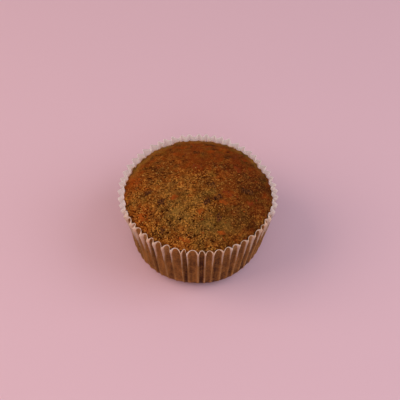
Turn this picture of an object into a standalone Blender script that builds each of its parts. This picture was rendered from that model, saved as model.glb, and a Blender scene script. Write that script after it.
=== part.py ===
"""Carrot cupcake in its pleated paper baking case, as two closed solids.

Metres, +Z up. The origin is the middle of the flat base, on the surface that the cupcake stands on.
The case is worked out as what it is: a flat round sheet of paper, pressed into a cup. The sheet
can't stretch, so the paper that the narrower cup doesn't need stands in the pleats.
"""

import math
import random

import bmesh
import bpy
from mathutils import Matrix, Vector

# The sheet and the cup that it is pressed into.
SHEET_RADIUS = 0.0572  # a 51 mm base and a 32 mm wall, laid out flat
FLAT_RADIUS = 0.0195  # what stays flat on the table
CORNER_RADIUS = 0.0090  # the turn from the base to the wall
CORNER_ROWS = (0.0, 0.4, 0.75, 1.0)  # where the turn's rows of points lie, as shares of it
WALL_ROWS = (0.35, 0.7, 1.0)
WALL_TILT = math.radians(9.7)  # how far the wall leans out from upright
WALL_START = FLAT_RADIUS + CORNER_RADIUS * (math.pi / 2 - WALL_TILT)
PAPER = 0.0003  # a sheet that a solid can hold; real paper is thinner
OUT_OF_ROUND = 0.004  # the cup is wider along X by this share, and narrower along Y
RIM_HEIGHT = 0.033
DENTS = (  # the middle's angle in degrees and height as a share of the rim's, how far the dent
    # reaches from it in degrees and in height, and its depth as a share of the radius
    (36, 1.0, 28, 0.6, 0.034),
    (92, 1.0, 24, 0.6, 0.014),
    (-14, 1.0, 16, 0.5, -0.010),
    (198, 0.5, 26, 0.35, 0.032),
    (-38, 0.2, 26, 0.35, 0.016),
    (-95, 0.1, 20, 0.3, 0.012),
)

# The pleats, from one outer fold to the next.
PLEATS = 56
PLEAT_COLUMNS = (0.0, 0.2, 0.5, 0.8)  # where a pleat's columns of points stand, as shares of it
FOLD_STRAY = 0.17  # how far a fold strays from even spacing, as a share of a pleat
FIRST_IN_FRONT = 34  # the first fold of those in front, which are crowded and spread as follows
FRONT_STRAYS = (
    *(-0.18, -0.02, 0.06, -0.17, -0.06, 0.04, 0.13, -0.20, 0.06),
    *(-0.12, -0.27, -0.11, -0.08, -0.21, -0.15, -0.09, 0.06, -0.04),
)
DEPTH_LOSS = 0.25  # how much shallower than it could be a pleat may be, as a share of its depth
FRONT_DEPTHS = (  # the pleats in front are this deep instead, as shares of what they could be
    *(0.94, 0.88, 0.88, 0.80, 0.88, 0.75, 0.80, 0.72, 0.66),
    *(0.58, 0.46, 0.50, 0.50, 0.46, 0.50, 0.48, 0.55, 0.70),
)
FOLD_RISE = 0.3  # an inner fold is steeper, so it ends higher, by this share of its depth
ARC_POWER = math.log(2) / math.log(math.pi / 2)

# The cake.
CLEARANCE = PAPER + 0.0003  # from the paper's outer face to the cake
HEADROOM = 0.0026  # bare paper above the cake's edge, measured along the sheet
EDGE_SLOPE = math.radians(24)  # how steeply the dome meets its rounded edge
SHOULDER = 0.0015  # radius of that edge, between the dome and the side
SHOULDER_ROWS = (0.5, 1.0)
DOME_POWER = 2.4  # 2 is a parabola, and more is flatter on top
DOME_RINGS = 16
LOPSIDED = 0.0010  # one side of the edge is higher than the middle by this, and the other lower
HIGH_SIDE = math.radians(-35)
FOLD_FILL = 0.35  # how far the cake bulges out into the outer folds, as a share of their depth
SIDE_ROWS = (0.66, 0.33)

# The lumps and hollows of the crust.
LUMPS = 90
LUMP_RADIUS = (0.0018, 0.0052)
LUMP_HEIGHT = 0.0007
LUMPS_END = 0.88  # lumps fade out from here to the edge, as a share of the dome's radius

# Shreds of carrot and pieces of nut that break through the crust, as shares of the dome's radius
# to the right and to the back, with the direction in degrees and the length in metres.
SHREDS = (
    (0.03, -0.48, 10, 0.0042),
    (0.37, -0.32, -8, 0.0052),
    (0.74, -0.31, 25, 0.0042),
    (0.42, -0.17, -32, 0.0068),
    (-0.02, 0.34, -12, 0.0056),
    (-0.33, -0.25, 60, 0.0036),
    (-0.78, -0.50, 123, 0.0062),
    (-0.19, -0.90, -12, 0.0058),
    (0.32, -0.82, 20, 0.0056),
    (-0.87, 0.18, 80, 0.0060),
    (0.58, 0.32, -50, 0.0056),
)
SHRED_WIDTH = 0.0016
NUTS = (
    (-0.70, -0.10, 60, 0.0046),
    (-0.51, -0.32, -50, 0.0036),
    (0.13, -0.33, 10, 0.0040),
    (0.29, -0.25, 20, 0.0044),
    (0.70, -0.11, -10, 0.0062),
    (0.29, -0.58, -30, 0.0042),
    (-0.50, -0.75, 30, 0.0036),
    (0.21, -0.03, -5, 0.0048),
)
NUT_WIDTH = 0.0026
PIECE_THICKNESS = 0.0012
PIECE_PROUD = 0.0004  # how far the middle of a piece stands out of the crust

SEED = 56
MERGE = 0.00001
SPONGE_COLOUR = (0.27, 0.10, 0.025, 1.0)
PAPER_COLOUR = (0.42, 0.24, 0.14, 1.0)


def remove_startup_objects():
    for obj in list(bpy.data.objects):
        bpy.data.objects.remove(obj)


def scattered_folds():
    """Angle of each outer fold, and depth of the pleat after it as a share of the full depth."""
    draw = random.Random(SEED)
    strays = []
    depths = []
    for _ in range(PLEATS):
        strays.append(draw.uniform(-FOLD_STRAY, FOLD_STRAY))
        depths.append(1 - draw.uniform(0, DEPTH_LOSS))
    strays[FIRST_IN_FRONT : FIRST_IN_FRONT + len(FRONT_STRAYS)] = FRONT_STRAYS
    depths[FIRST_IN_FRONT : FIRST_IN_FRONT + len(FRONT_DEPTHS)] = FRONT_DEPTHS
    angles = [2 * math.pi * (index + stray) / PLEATS for index, stray in enumerate(strays)]
    return angles, depths


def scattered_lumps(edge):
    """(x, y, radius, height) of each lump on a dome, where a height below 0 is a hollow."""
    draw = random.Random(SEED + 1)
    lumps = []
    for _ in range(LUMPS):
        reach = edge * math.sqrt(draw.random())
        angle = draw.uniform(0, 2 * math.pi)
        radius = draw.uniform(*LUMP_RADIUS)
        height = draw.uniform(-LUMP_HEIGHT, LUMP_HEIGHT)
        lumps.append((reach * math.cos(angle), reach * math.sin(angle), radius, height))
    return lumps


def turn_at(along):
    """How far the sheet has turned up, this far along it from the middle."""
    return min(max(along - FLAT_RADIUS, 0) / CORNER_RADIUS, math.pi / 2 - WALL_TILT)


def outer_fold(along):
    """(radius, height) on an outer fold: flat, then an arc, then the straight wall."""
    turn = turn_at(along)
    straight = max(along - FLAT_RADIUS - CORNER_RADIUS * turn, 0)
    radius = min(along, FLAT_RADIUS) + CORNER_RADIUS * math.sin(turn) + straight * math.cos(turn)
    height = CORNER_RADIUS * (1 - math.cos(turn)) + straight * math.sin(turn)
    return radius, height


def pleat_depth(along):
    """Full depth of a pleat: it takes up the spare paper, as a half ellipse.

    Half of the ellipse's arc is nearly (a**p + b**p) ** (1 / p) long. That length is the flat
    sheet's share of half a pleat, a is the cup's share, and b is the depth.
    """
    radius, _ = outer_fold(along)
    spare = max(along**ARC_POWER - radius**ARC_POWER, 0)
    return math.pi / PLEATS * spare ** (1 / ARC_POWER)


def inner_fold(along, inward=1.0):
    """(radius, height) at this share of the way in from an outer fold to an inner one."""
    radius, height = outer_fold(along)
    depth = pleat_depth(along) * inward
    return radius - depth, height + FOLD_RISE * depth


def inside_case(along):
    """(radius, height) of a point on the cake's side, clear of the inner folds."""
    radius, height = inner_fold(along)
    turn = turn_at(along)
    return radius - CLEARANCE * math.sin(turn), height + CLEARANCE * math.cos(turn)


def corner_rows():
    """Distances along the sheet of the rows of points between the base and the wall."""
    return [FLAT_RADIUS + (WALL_START - FLAT_RADIUS) * share for share in CORNER_ROWS]


def wall_rows(shares, end):
    """Distances along the sheet of rows of points up the wall, at shares of the way to its end."""
    return [WALL_START + (end - WALL_START) * share for share in shares]


def shoulder(turn):
    """(radius, height) on the rounded edge, where turn is from the dome's slope to upright."""
    radius, height = inside_case(SHEET_RADIUS - HEADROOM)
    return radius - SHOULDER * (1 - math.sin(turn)), height + SHOULDER * math.cos(turn)


def smooth_dome(radius):
    """Height of the dome without its lumps: it falls with a power of the radius."""
    edge, height = shoulder(EDGE_SLOPE)
    rise = math.tan(EDGE_SLOPE) * edge / DOME_POWER
    return height + rise * (1 - (radius / edge) ** DOME_POWER)


def relief(x, y, lumps):
    """Height that lumps and hollows add at a point of the dome."""
    edge, _ = shoulder(EDGE_SLOPE)
    share = min(max((1 - math.hypot(x, y) / edge) / (1 - LUMPS_END), 0), 1)
    total = 0
    for lump_x, lump_y, radius, height in lumps:
        distance = math.hypot(x - lump_x, y - lump_y) / radius
        total += height * math.exp(-distance * distance)
    return total * share


def lean(x, y):
    """Height that the lopsided bake adds at a point of the dome."""
    edge, _ = shoulder(EDGE_SLOPE)
    return LOPSIDED * (x * math.cos(HIGH_SIDE) + y * math.sin(HIGH_SIDE)) / edge


def angle_within(angles, pleat, share):
    """Angle at this share of the way from a pleat's outer fold to the next."""
    here = angles[pleat]
    after = angles[(pleat + 1) % PLEATS] + (2 * math.pi if pleat + 1 == PLEATS else 0)
    return here + share * (after - here)


def dented(angle, height):
    """Share of the radius that the dents leave. A dent is a bell curve in angle and in height."""
    share = 1
    for middle, level, width, reach, depth in DENTS:
        aside = (math.degrees(angle) - middle + 180) % 360 - 180
        above = height / RIM_HEIGHT - level
        share -= depth * math.exp(-((aside / width) ** 2) - (above / reach) ** 2)
    return share


def around(radius, angle, height):
    """Point of the slightly oval and dented cupcake."""
    radius *= dented(angle, min(height, RIM_HEIGHT))
    x = radius * (1 + OUT_OF_ROUND) * math.cos(angle)
    y = radius * (1 - OUT_OF_ROUND) * math.sin(angle)
    return Vector((x, y, height))


def keep_shown_mesh(obj):
    """Applies an object's modifiers."""
    graph = bpy.context.evaluated_depsgraph_get()
    shown = bpy.data.meshes.new_from_object(obj.evaluated_get(graph))
    raw = obj.data
    obj.modifiers.clear()
    obj.data = shown
    bpy.data.meshes.remove(raw)


def turned(name, outline, columns):
    """Object made by turning a (radius, height) outline about Z, from its first point down."""
    mesh = bpy.data.meshes.new(name)
    edges = [(index, index + 1) for index in range(len(outline) - 1)]
    mesh.from_pydata([(radius, 0, height) for radius, height in outline], edges, [])
    obj = bpy.data.objects.new(name, mesh)
    bpy.context.scene.collection.objects.link(obj)
    screw = obj.modifiers.new("Turn", "SCREW")
    screw.steps = columns
    screw.render_steps = columns
    screw.use_merge_vertices = True
    screw.merge_threshold = MERGE
    keep_shown_mesh(obj)
    return obj


def column_of(point, columns):
    """Number of the turned object's column that a point is in."""
    return round(math.atan2(point.y, point.x) / (2 * math.pi) * columns) % columns


def point_base_down(obj):
    """Turns the faces over if those of the base look up."""
    mesh = bmesh.new()
    mesh.from_mesh(obj.data)
    base = min(mesh.faces, key=lambda face: face.calc_center_median().z)
    if base.normal.z > 0:
        bmesh.ops.reverse_faces(mesh, faces=mesh.faces)
    mesh.to_mesh(obj.data)
    mesh.free()


def paper_case(angles, depths):
    """The case: a flat sheet, folded point by point, and then given its thickness inwards."""
    rows = [0, *corner_rows(), *wall_rows(WALL_ROWS, SHEET_RADIUS)]
    per_pleat = len(PLEAT_COLUMNS)
    columns = PLEATS * per_pleat
    case = turned("paper_case", [(along, 0) for along in rows], columns)
    for vertex in case.data.vertices:
        pleat, place = divmod(column_of(vertex.co, columns), per_pleat)
        share = PLEAT_COLUMNS[place]
        inward = math.sqrt(1 - (2 * share - 1) ** 2) * depths[pleat]
        radius, height = inner_fold(vertex.co.xy.length, inward)
        vertex.co = around(radius, angle_within(angles, pleat, share), height)
    point_base_down(case)
    thicken = case.modifiers.new("Thickness", "SOLIDIFY")
    thicken.thickness = PAPER
    thicken.offset = -1
    keep_shown_mesh(case)
    return case


def cake_outline():
    """(radius, height) from the top of the dome, over the shoulder, down the side and in."""
    edge, _ = shoulder(EDGE_SLOPE)
    outline = []
    for ring in range(DOME_RINGS):
        radius = edge * ring / (DOME_RINGS - 1)
        outline.append((radius, smooth_dome(radius)))
    for share in SHOULDER_ROWS:
        outline.append(shoulder(EDGE_SLOPE + (math.pi / 2 - EDGE_SLOPE) * share))
    down = wall_rows(SIDE_ROWS, SHEET_RADIUS - HEADROOM) + corner_rows()[::-1]
    outline += [inside_case(along) for along in down]
    outline.append((0, CLEARANCE))
    return outline


def bulge(radius, height):
    """How far the cake swells into an outer fold, at this place on its smooth outline."""
    edge, _ = shoulder(EDGE_SLOPE)
    side, side_top = shoulder(math.pi / 2)
    on_side = min(max((radius - edge) / (side - edge), 0), 1) if height > side_top else 1
    share = min(height / side_top, 1)
    along = FLAT_RADIUS + (SHEET_RADIUS - HEADROOM - FLAT_RADIUS) * share
    return FOLD_FILL * pleat_depth(along) * on_side


def sponge(angles, lumps):
    """The cake: a turned body with flutes down its side and a lumpy, lopsided dome."""
    _, side_top = shoulder(math.pi / 2)
    body = turned("cake", cake_outline(), 2 * PLEATS)
    for vertex in body.data.vertices:
        radius, height = vertex.co.xy.length, vertex.co.z
        pleat, at_inner_fold = divmod(column_of(vertex.co, 2 * PLEATS), 2)
        if not at_inner_fold:
            radius += bulge(radius, height)
        point = around(radius, angle_within(angles, pleat, at_inner_fold / 2), height)
        if height > side_top:
            point.z += relief(point.x, point.y, lumps)
        point.z += lean(point.x, point.y) * max(2 * height / side_top - 1, 0)
        vertex.co = point
    point_base_down(body)
    return body


def crust_point(x, y, lumps):
    """Point on the crust."""
    return Vector((x, y, smooth_dome(math.hypot(x, y)) + relief(x, y, lumps) + lean(x, y)))


def fused_piece(name, place, width, lumps):
    """A shred or a nut: a long flattened ball that lies along the crust, mostly sunk in it."""
    edge, _ = shoulder(EDGE_SLOPE)
    right, back, direction, length = place
    heading = Vector((math.cos(math.radians(direction)), math.sin(math.radians(direction))))
    middle = crust_point(right * edge, back * edge, lumps)
    ends = [middle.xy + side * length / 2 * heading for side in (-1, 1)]
    start, end = [crust_point(end.x, end.y, lumps) for end in ends]
    along = (end - start).normalized()
    across = Vector((0, 0, 1)).cross(along).normalized()
    up = along.cross(across)
    bpy.ops.mesh.primitive_uv_sphere_add(segments=8, ring_count=5, radius=0.5)
    piece = bpy.context.object
    piece.name = name
    size = Matrix.Diagonal((length, width, PIECE_THICKNESS, 1))
    turn = Matrix((along, across, up)).transposed().to_4x4()
    centre = middle + up * (PIECE_PROUD - PIECE_THICKNESS / 2)
    piece.data.transform(Matrix.Translation(centre) @ turn @ size)
    return piece


def move_to(obj, collection):
    for owner in list(obj.users_collection):
        owner.objects.unlink(obj)
    collection.objects.link(obj)


def fuse(body, pieces):
    """Joins the pieces to the body with one union, and removes them."""
    group = bpy.data.collections.new("fused_pieces")
    bpy.context.scene.collection.children.link(group)
    for piece in pieces:
        move_to(piece, group)
    union = body.modifiers.new("Fuse", "BOOLEAN")
    union.operation = "UNION"
    union.operand_type = "COLLECTION"
    union.collection = group
    keep_shown_mesh(body)
    for piece in pieces:
        bpy.data.objects.remove(piece)
    bpy.data.collections.remove(group)


def finish(obj, material_name, colour, roughness):
    """Gives an object its material and smooth shading with crisp folds."""
    material = bpy.data.materials.new(material_name)
    material.use_nodes = True
    shader = material.node_tree.nodes["Principled BSDF"]
    shader.inputs["Base Color"].default_value = colour
    shader.inputs["Roughness"].default_value = roughness
    shader.inputs["Metallic"].default_value = 0.0
    obj.data.materials.clear()
    obj.data.materials.append(material)
    obj.data.shade_smooth()
    obj.data.set_sharp_from_angle(angle=math.radians(50))


def main():
    remove_startup_objects()
    angles, depths = scattered_folds()
    edge, _ = shoulder(EDGE_SLOPE)
    lumps = scattered_lumps(edge)
    cake = sponge(angles, lumps)
    pieces = [fused_piece(f"shred_{i}", place, SHRED_WIDTH, lumps) for i, place in enumerate(SHREDS)]
    pieces += [fused_piece(f"nut_{i}", place, NUT_WIDTH, lumps) for i, place in enumerate(NUTS)]
    fuse(cake, pieces)
    case = paper_case(angles, depths)
    finish(cake, "carrot_sponge", SPONGE_COLOUR, 0.85)
    finish(case, "greaseproof_paper", PAPER_COLOUR, 0.7)
    cupcake = bpy.data.collections.new("carrot_cupcake")
    bpy.context.scene.collection.children.link(cupcake)
    for obj in (cake, case):
        move_to(obj, cupcake)


main()
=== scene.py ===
"""Looks of the carrot cupcake: its grainy crust, the carrot and nuts in it, and its paper case.

Metres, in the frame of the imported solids: +Z up, the origin in the middle of the base, +X to the
right and +Y to the back. The case and the cake follow the same folded sheet as their solids do.
Everywhere, along is a distance along the sheet from its middle, pleat is a place around counted
in pleats, angle is measured from +X, and arrays of points have x, y and z last.
"""

import logging
import math
import random
from dataclasses import dataclass, field
from enum import Enum, IntEnum
from typing import Any

import bpy
import numpy as np
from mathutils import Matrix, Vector


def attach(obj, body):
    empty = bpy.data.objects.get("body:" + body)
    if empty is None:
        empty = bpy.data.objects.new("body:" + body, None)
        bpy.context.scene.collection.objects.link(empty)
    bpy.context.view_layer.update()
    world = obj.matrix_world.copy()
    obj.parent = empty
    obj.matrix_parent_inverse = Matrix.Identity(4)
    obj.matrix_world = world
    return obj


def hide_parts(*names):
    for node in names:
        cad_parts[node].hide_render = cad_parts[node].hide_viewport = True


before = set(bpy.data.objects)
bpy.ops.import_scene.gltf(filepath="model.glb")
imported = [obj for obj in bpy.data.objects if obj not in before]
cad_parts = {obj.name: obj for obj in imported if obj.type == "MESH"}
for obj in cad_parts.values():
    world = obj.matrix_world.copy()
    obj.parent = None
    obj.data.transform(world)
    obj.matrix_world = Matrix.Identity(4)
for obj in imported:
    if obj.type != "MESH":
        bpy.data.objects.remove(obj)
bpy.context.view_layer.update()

BODY = "root"
SEED = 56
MM = 0.001
Array = np.ndarray
Colour = tuple[float, float, float, float]
Material = bpy.types.Material
Piece = bpy.types.Object
Socket = bpy.types.NodeSocket
log = logging.getLogger("carrot_cupcake")


class Draw(IntEnum):
    """Seeds of the random draws. The first two are the solids' own."""

    FOLDS = SEED
    LUMPS = SEED + 1
    STAINS = SEED + 3
    SHREDS = SEED + 5
    NUTS = SEED + 6
    CRUMBS = SEED + 7
    RIM = SEED + 8
    SWAY = SEED + 9
    STAIN_EDGE = SEED + 10


class Pattern(IntEnum):
    """Seeds of the noises in space."""

    CALM = 5
    EDGE = 12
    WARP = 20  # along X, with the two after it for Y and Z
    COBBLE = 31
    GRIT = 32
    SWELL = 33
    PORE = 34
    PATCH = 41
    MORSEL = 61


# --- arrays -------------------------------------------------------------------------------------


def smooth_step(low: float, high: float, values: Array) -> Array:
    """Rises from 0 at low to 1 at high with level ends: 3 t squared minus 2 t cubed.

    Args:
        low: value that gives 0.
        high: value that gives 1. It may be the lower of the two.
        values: numbers to map.

    Returns:
        The mapped numbers.
    """
    share = np.clip((values - low) / (high - low), 0, 1)
    return share * share * (3 - 2 * share)


def bell(distance: Array, width: float | Array) -> Array:
    """Bell curve: 1 at distance 0, faded to about a third at the width."""
    return np.exp(-((distance / width) ** 2))


@dataclass(frozen=True)
class Grain:
    """Seeded noise in space."""

    cell: float  # edge of a cell
    seed: int

    def cells(self, points: Array) -> tuple[Array, Array]:
        """Points counted in cells, and the whole-number corner of the cell that each is in."""
        scaled = points / self.cell + 0.5 * self.seed
        return scaled, np.floor(scaled).astype(np.int64)

    def chance(self, cells: Array, channel: int) -> Array:
        """Pseudo-random numbers from 0 to 1, one for each cell.

        Args:
            cells: whole-number corners.
            channel: tells apart the numbers drawn for one cell.

        Returns:
            The cells' coordinates multiplied by large primes and mixed.
        """
        mixed = cells[..., 0] * 73856093 ^ cells[..., 1] * 19349663 ^ cells[..., 2] * 83492791
        mixed = (mixed ^ (self.seed * 2654435761 + channel * 40503)) & 0xFFFFFFFF
        for _ in range(2):
            mixed = ((mixed ^ (mixed >> 15)) * 0x2C1B3C6D) & 0xFFFFFFFF
        return (mixed ^ (mixed >> 13)) / 0xFFFFFFFF

    def smooth(self, points: Array) -> Array:
        """Gradient noise: in each cell, the corners' random slopes blended by smooth steps.

        Args:
            points: positions.

        Returns:
            Numbers of about -1 to 1.
        """
        scaled, base = self.cells(points)
        inside = scaled - base
        fade = inside**3 * (inside * (inside * 6 - 15) + 10)
        total = np.zeros(points.shape[:-1])
        for corner in np.ndindex(2, 2, 2):
            cell = base + corner
            slopes = np.stack([self.chance(cell, axis) * 2 - 1 for axis in range(3)], -1)
            weight = np.prod(np.where(corner, fade, 1 - fade), axis=-1)
            total += weight * np.sum(slopes * (inside - corner), axis=-1)
        return total * 1.6

    def nearest(self, points: Array) -> tuple[Array, Array]:
        """Cellular noise: one seed point in each cell, and how far the closest is.

        Args:
            points: positions.

        Returns:
            Distance to the closest seed point, in cells, and a random number from 0 to 1 that
            belongs to it.
        """
        scaled, base = self.cells(points)
        least = np.full(points.shape[:-1], 9.0)
        owner = np.zeros(points.shape[:-1])
        for step in np.ndindex(3, 3, 3):
            cell = base + np.array(step) - 1
            spot = cell + np.stack([self.chance(cell, axis) for axis in range(3)], -1)
            reach = np.linalg.norm(scaled - spot, axis=-1)
            owner = np.where(reach < least, self.chance(cell, 3), owner)
            least = np.minimum(reach, least)
        return least, owner


def grid_faces(rows: int, columns: int, closed: bool, first: int = 0) -> Array:
    """Corners of the quads of a grid of points that is stored row by row.

    Args:
        rows: number of rows of points.
        columns: number of points in a row.
        closed: whether each row's last point joins its first.
        first: number of the grid's first point.

    Returns:
        An array of four point numbers for each quad.
    """
    row, column = np.meshgrid(
        np.arange(rows - 1), np.arange(columns if closed else columns - 1), indexing="ij"
    )
    low = row * columns
    after = (column + 1) % columns
    corners = (low + column, low + after, low + columns + after, low + columns + column)
    return first + np.stack(corners, -1).reshape(-1, 4)


def ring_faces(low: Array, high: Array) -> Array:
    """Point numbers of the quads between two closed rings of as many points."""
    return np.stack([low, np.roll(low, -1), np.roll(high, -1), high], -1)


def fan_faces(ring: Array, hub: int) -> Array:
    """Point numbers of the triangles between the sides of a closed ring and one point."""
    return np.stack([ring, np.roll(ring, -1), np.full(len(ring), hub)], -1)


def joined_tubes(rings: Array) -> tuple[Array, list[Array]]:
    """Points and faces of closed tubes: quads along each, and a fan of triangles over each end.

    Args:
        rings: points by tube, ring and place round the ring, turning left about the tube's way.

    Returns:
        All points, and the blocks of faces.
    """
    tubes, rows, columns, _ = rings.shape
    count = rows * columns
    ends = (rings[:, :1].mean(2), rings[:, -1:].mean(2))
    points = np.concatenate([rings.reshape(tubes, count, 3), *ends], axis=1)
    ring = np.arange(columns)
    blocks = (
        grid_faces(rows, columns, closed=True),
        fan_faces(ring[::-1], count),
        fan_faces(ring + count - columns, count + 1),
    )
    first = (np.arange(tubes) * (count + 2))[:, None, None]
    return points.reshape(-1, 3), [(first + b).reshape(-1, b.shape[-1]) for b in blocks]


def make_piece(
    name: str, points: Array, faces: list[Array], masks: dict[str, Array], material: Material
) -> Piece:
    """Object with a smooth mesh, whose masks become attributes of its points.

    Args:
        name: name of the piece.
        points: positions, one row for each point.
        faces: arrays of point numbers, each with three or four columns.
        masks: numbers for each point, by the attribute's name.
        material: what it is made of.

    Returns:
        The new object, at the origin.
    """
    corners = np.concatenate([block.ravel() for block in faces]).astype(np.int32)
    sizes = np.concatenate([np.full(len(block), block.shape[1], np.int32) for block in faces])
    mesh = bpy.data.meshes.new(name)
    mesh.vertices.add(len(points))
    mesh.vertices.foreach_set("co", points.astype(np.float32).ravel())
    mesh.loops.add(len(corners))
    mesh.loops.foreach_set("vertex_index", corners)
    mesh.polygons.add(len(sizes))
    mesh.polygons.foreach_set("loop_start", np.concatenate([[0], np.cumsum(sizes)[:-1]]))
    mesh.polygons.foreach_set("loop_total", sizes)
    mesh.update(calc_edges=True)
    for mask, values in masks.items():
        layer = mesh.attributes.new(mask, "FLOAT", "POINT")
        layer.data.foreach_set("value", values.astype(np.float32).ravel())
    mesh.shade_smooth()
    mesh.materials.append(material)
    piece = bpy.data.objects.new(name, mesh)
    bpy.context.scene.collection.objects.link(piece)
    return piece


# --- materials ----------------------------------------------------------------------------------


def linear(red: int, green: int, blue: int) -> Colour:
    """Colour for a shader: a screen colour whose gamma is undone.

    Args:
        red: from 0 to 255.
        green: from 0 to 255.
        blue: from 0 to 255.

    Returns:
        Red, green, blue and alpha, from 0 to 1.
    """
    shares = (value / 255 for value in (red, green, blue))
    toned = [s / 12.92 if s <= 0.04045 else ((s + 0.055) / 1.055) ** 2.4 for s in shares]
    return (*toned, 1.0)


class Number:
    """A number that varies over a surface. Its operators add Math nodes to the graph."""

    def __init__(self, graph: "Graph", socket: Socket) -> None:
        """Wraps a socket of one of the graph's nodes."""
        self.graph = graph
        self.socket = socket

    def __add__(self, other: Any) -> "Number":
        """Sum."""
        return self.graph.maths("ADD", self, other)

    def __sub__(self, other: Any) -> "Number":
        """Difference."""
        return self.graph.maths("SUBTRACT", self, other)

    def __rsub__(self, other: Any) -> "Number":
        """Difference from a plain number."""
        return self.graph.maths("SUBTRACT", other, self)

    def __mul__(self, other: Any) -> "Number":
        """Product."""
        return self.graph.maths("MULTIPLY", self, other)

    __radd__ = __add__
    __rmul__ = __mul__

    def clamped(self) -> "Number":
        """The same number, held between 0 and 1."""
        return self.graph.maths("ADD", self, 0.0, clamp=True)

    def between(self, low: float, high: float) -> "Number":
        """Smooth step: 0 at low, 1 at high.

        Args:
            low: value that gives 0.
            high: value that gives 1. It may be the lower of the two.

        Returns:
            The mapped number.
        """
        values = {"Value": self, "From Min": min(low, high), "From Max": max(low, high)}
        made = self.graph.node("ShaderNodeMapRange", values, interpolation_type="SMOOTHSTEP")
        share = Number(self.graph, made.outputs["Result"])
        return 1 - share if high < low else share


class Graph:
    """The nodes of one material."""

    def __init__(self, name: str) -> None:
        """Makes the material with nothing but its output.

        Args:
            name: name of the material.
        """
        self.material = bpy.data.materials.new(name)
        self.material.use_nodes = True
        self.tree = self.material.node_tree
        self.tree.nodes.clear()
        self.output = self.tree.nodes.new("ShaderNodeOutputMaterial")
        self.place = self.node("ShaderNodeTexCoord").outputs["Object"]

    def node(
        self, kind: str, values: dict[Any, Any] | None = None, **settings: Any
    ) -> bpy.types.Node:
        """Adds a node, sets it up and connects it.

        Args:
            kind: Blender's name of the node's type.
            values: by a socket's name or number, a value, a socket or a Number.
            **settings: the node's properties, which are set first.

        Returns:
            The new node.
        """
        made = self.tree.nodes.new(kind)
        for key, value in settings.items():
            setattr(made, key, value)
        for key, value in (values or {}).items():
            if isinstance(value, Number):
                value = value.socket
            if isinstance(value, Socket):
                self.tree.links.new(value, made.inputs[key])
            else:
                made.inputs[key].default_value = value
        return made

    def maths(self, operation: str, *terms: Any, clamp: bool = False) -> Number:
        """Adds a Math node.

        Args:
            operation: what it works out.
            terms: plain numbers, sockets or Numbers.
            clamp: whether the result is held between 0 and 1.

        Returns:
            Its result.
        """
        values = dict(enumerate(terms))
        made = self.node("ShaderNodeMath", values, operation=operation, use_clamp=clamp)
        return Number(self, made.outputs[0])

    def mask(self, name: str) -> Number:
        """One of the mesh's own attributes."""
        return Number(self, self.node("ShaderNodeAttribute", attribute_name=name).outputs["Fac"])

    def noise(
        self, size: float, detail: float = 2.0, roughness: float = 0.5, stretch: Any = None
    ) -> Number:
        """Cloudy noise.

        Args:
            size: width of its largest blotches.
            detail: how many times finer blotches are added.
            roughness: how strong the finer ones are.
            stretch: scale along X, Y and Z, where the blotches aren't round.

        Returns:
            Numbers of about 0.25 to 0.75, with the middle at 0.5.
        """
        place = self.place
        if stretch:
            values = {"Vector": place, "Scale": stretch}
            place = self.node("ShaderNodeMapping", values).outputs["Vector"]
        values = {"Vector": place, "Scale": 1 / size, "Detail": detail, "Roughness": roughness}
        made = self.node("ShaderNodeTexNoise", values, noise_dimensions="3D")
        return Number(self, made.outputs["Fac"])

    def chance(self, size: float) -> Number:
        """A random number for each of the grains that are packed side by side.

        Args:
            size: width of a grain.

        Returns:
            Numbers from 0 to 1.
        """
        values = {"Vector": self.place, "Scale": 1 / size, "Randomness": 1.0}
        grains = self.node("ShaderNodeTexVoronoi", values, feature="F1")
        parts = self.node("ShaderNodeSeparateColor", {"Color": grains.outputs["Color"]})
        return Number(self, parts.outputs["Red"])

    def layers(self, colour: Any, *layers: tuple[Any, Any]) -> Any:
        """Lays colours over one another with Mix nodes.

        Args:
            colour: the lowest colour, or its socket.
            *layers: for each layer from the lowest up, how much of it there is, and its colour.

        Returns:
            The socket of the mixed colour.
        """
        for share, over in layers:
            values = {0: share, 6: colour, 7: over}
            made = self.node("ShaderNodeMix", values, data_type="RGBA", clamp_factor=True)
            colour = made.outputs[2]
        return colour

    def bump(self, height: Number, distance: float) -> Socket:
        """The normal bent by a relief of height 0 to 1, where 1 is this far out."""
        return self.node("ShaderNodeBump", {"Height": height, "Distance": distance}).outputs[0]

    def skin(self, colour: Any, roughness: Number, shine: float, **more: Any) -> Socket:
        """Adds the Principled shader.

        Args:
            colour: the base colour.
            roughness: how matt it is.
            shine: its specular level.
            **more: other inputs, by their names with underscores for spaces.

        Returns:
            The shader's output socket.
        """
        values = {"Base Color": colour, "Roughness": roughness, "Specular IOR Level": shine}
        values |= {name.replace("_", " "): value for name, value in more.items()}
        return self.node("ShaderNodeBsdfPrincipled", values).outputs[0]

    def surface(self, shader: Socket) -> Material:
        """Connects the finished shader's output socket, and gives the material."""
        self.tree.links.new(shader, self.output.inputs["Surface"])
        return self.material


class Tint(Enum):
    """A colour laid on the crust in patches, from the lowest layer up. Most are the crust's own
    tints; the broad dark patch to the right is painted shade, and the pale strip along the edge at
    the back is painted light.
    """

    CARROT = "carrot"
    OLIVE = "olive"
    DARK = "dark"
    PALE = "pale"


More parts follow.
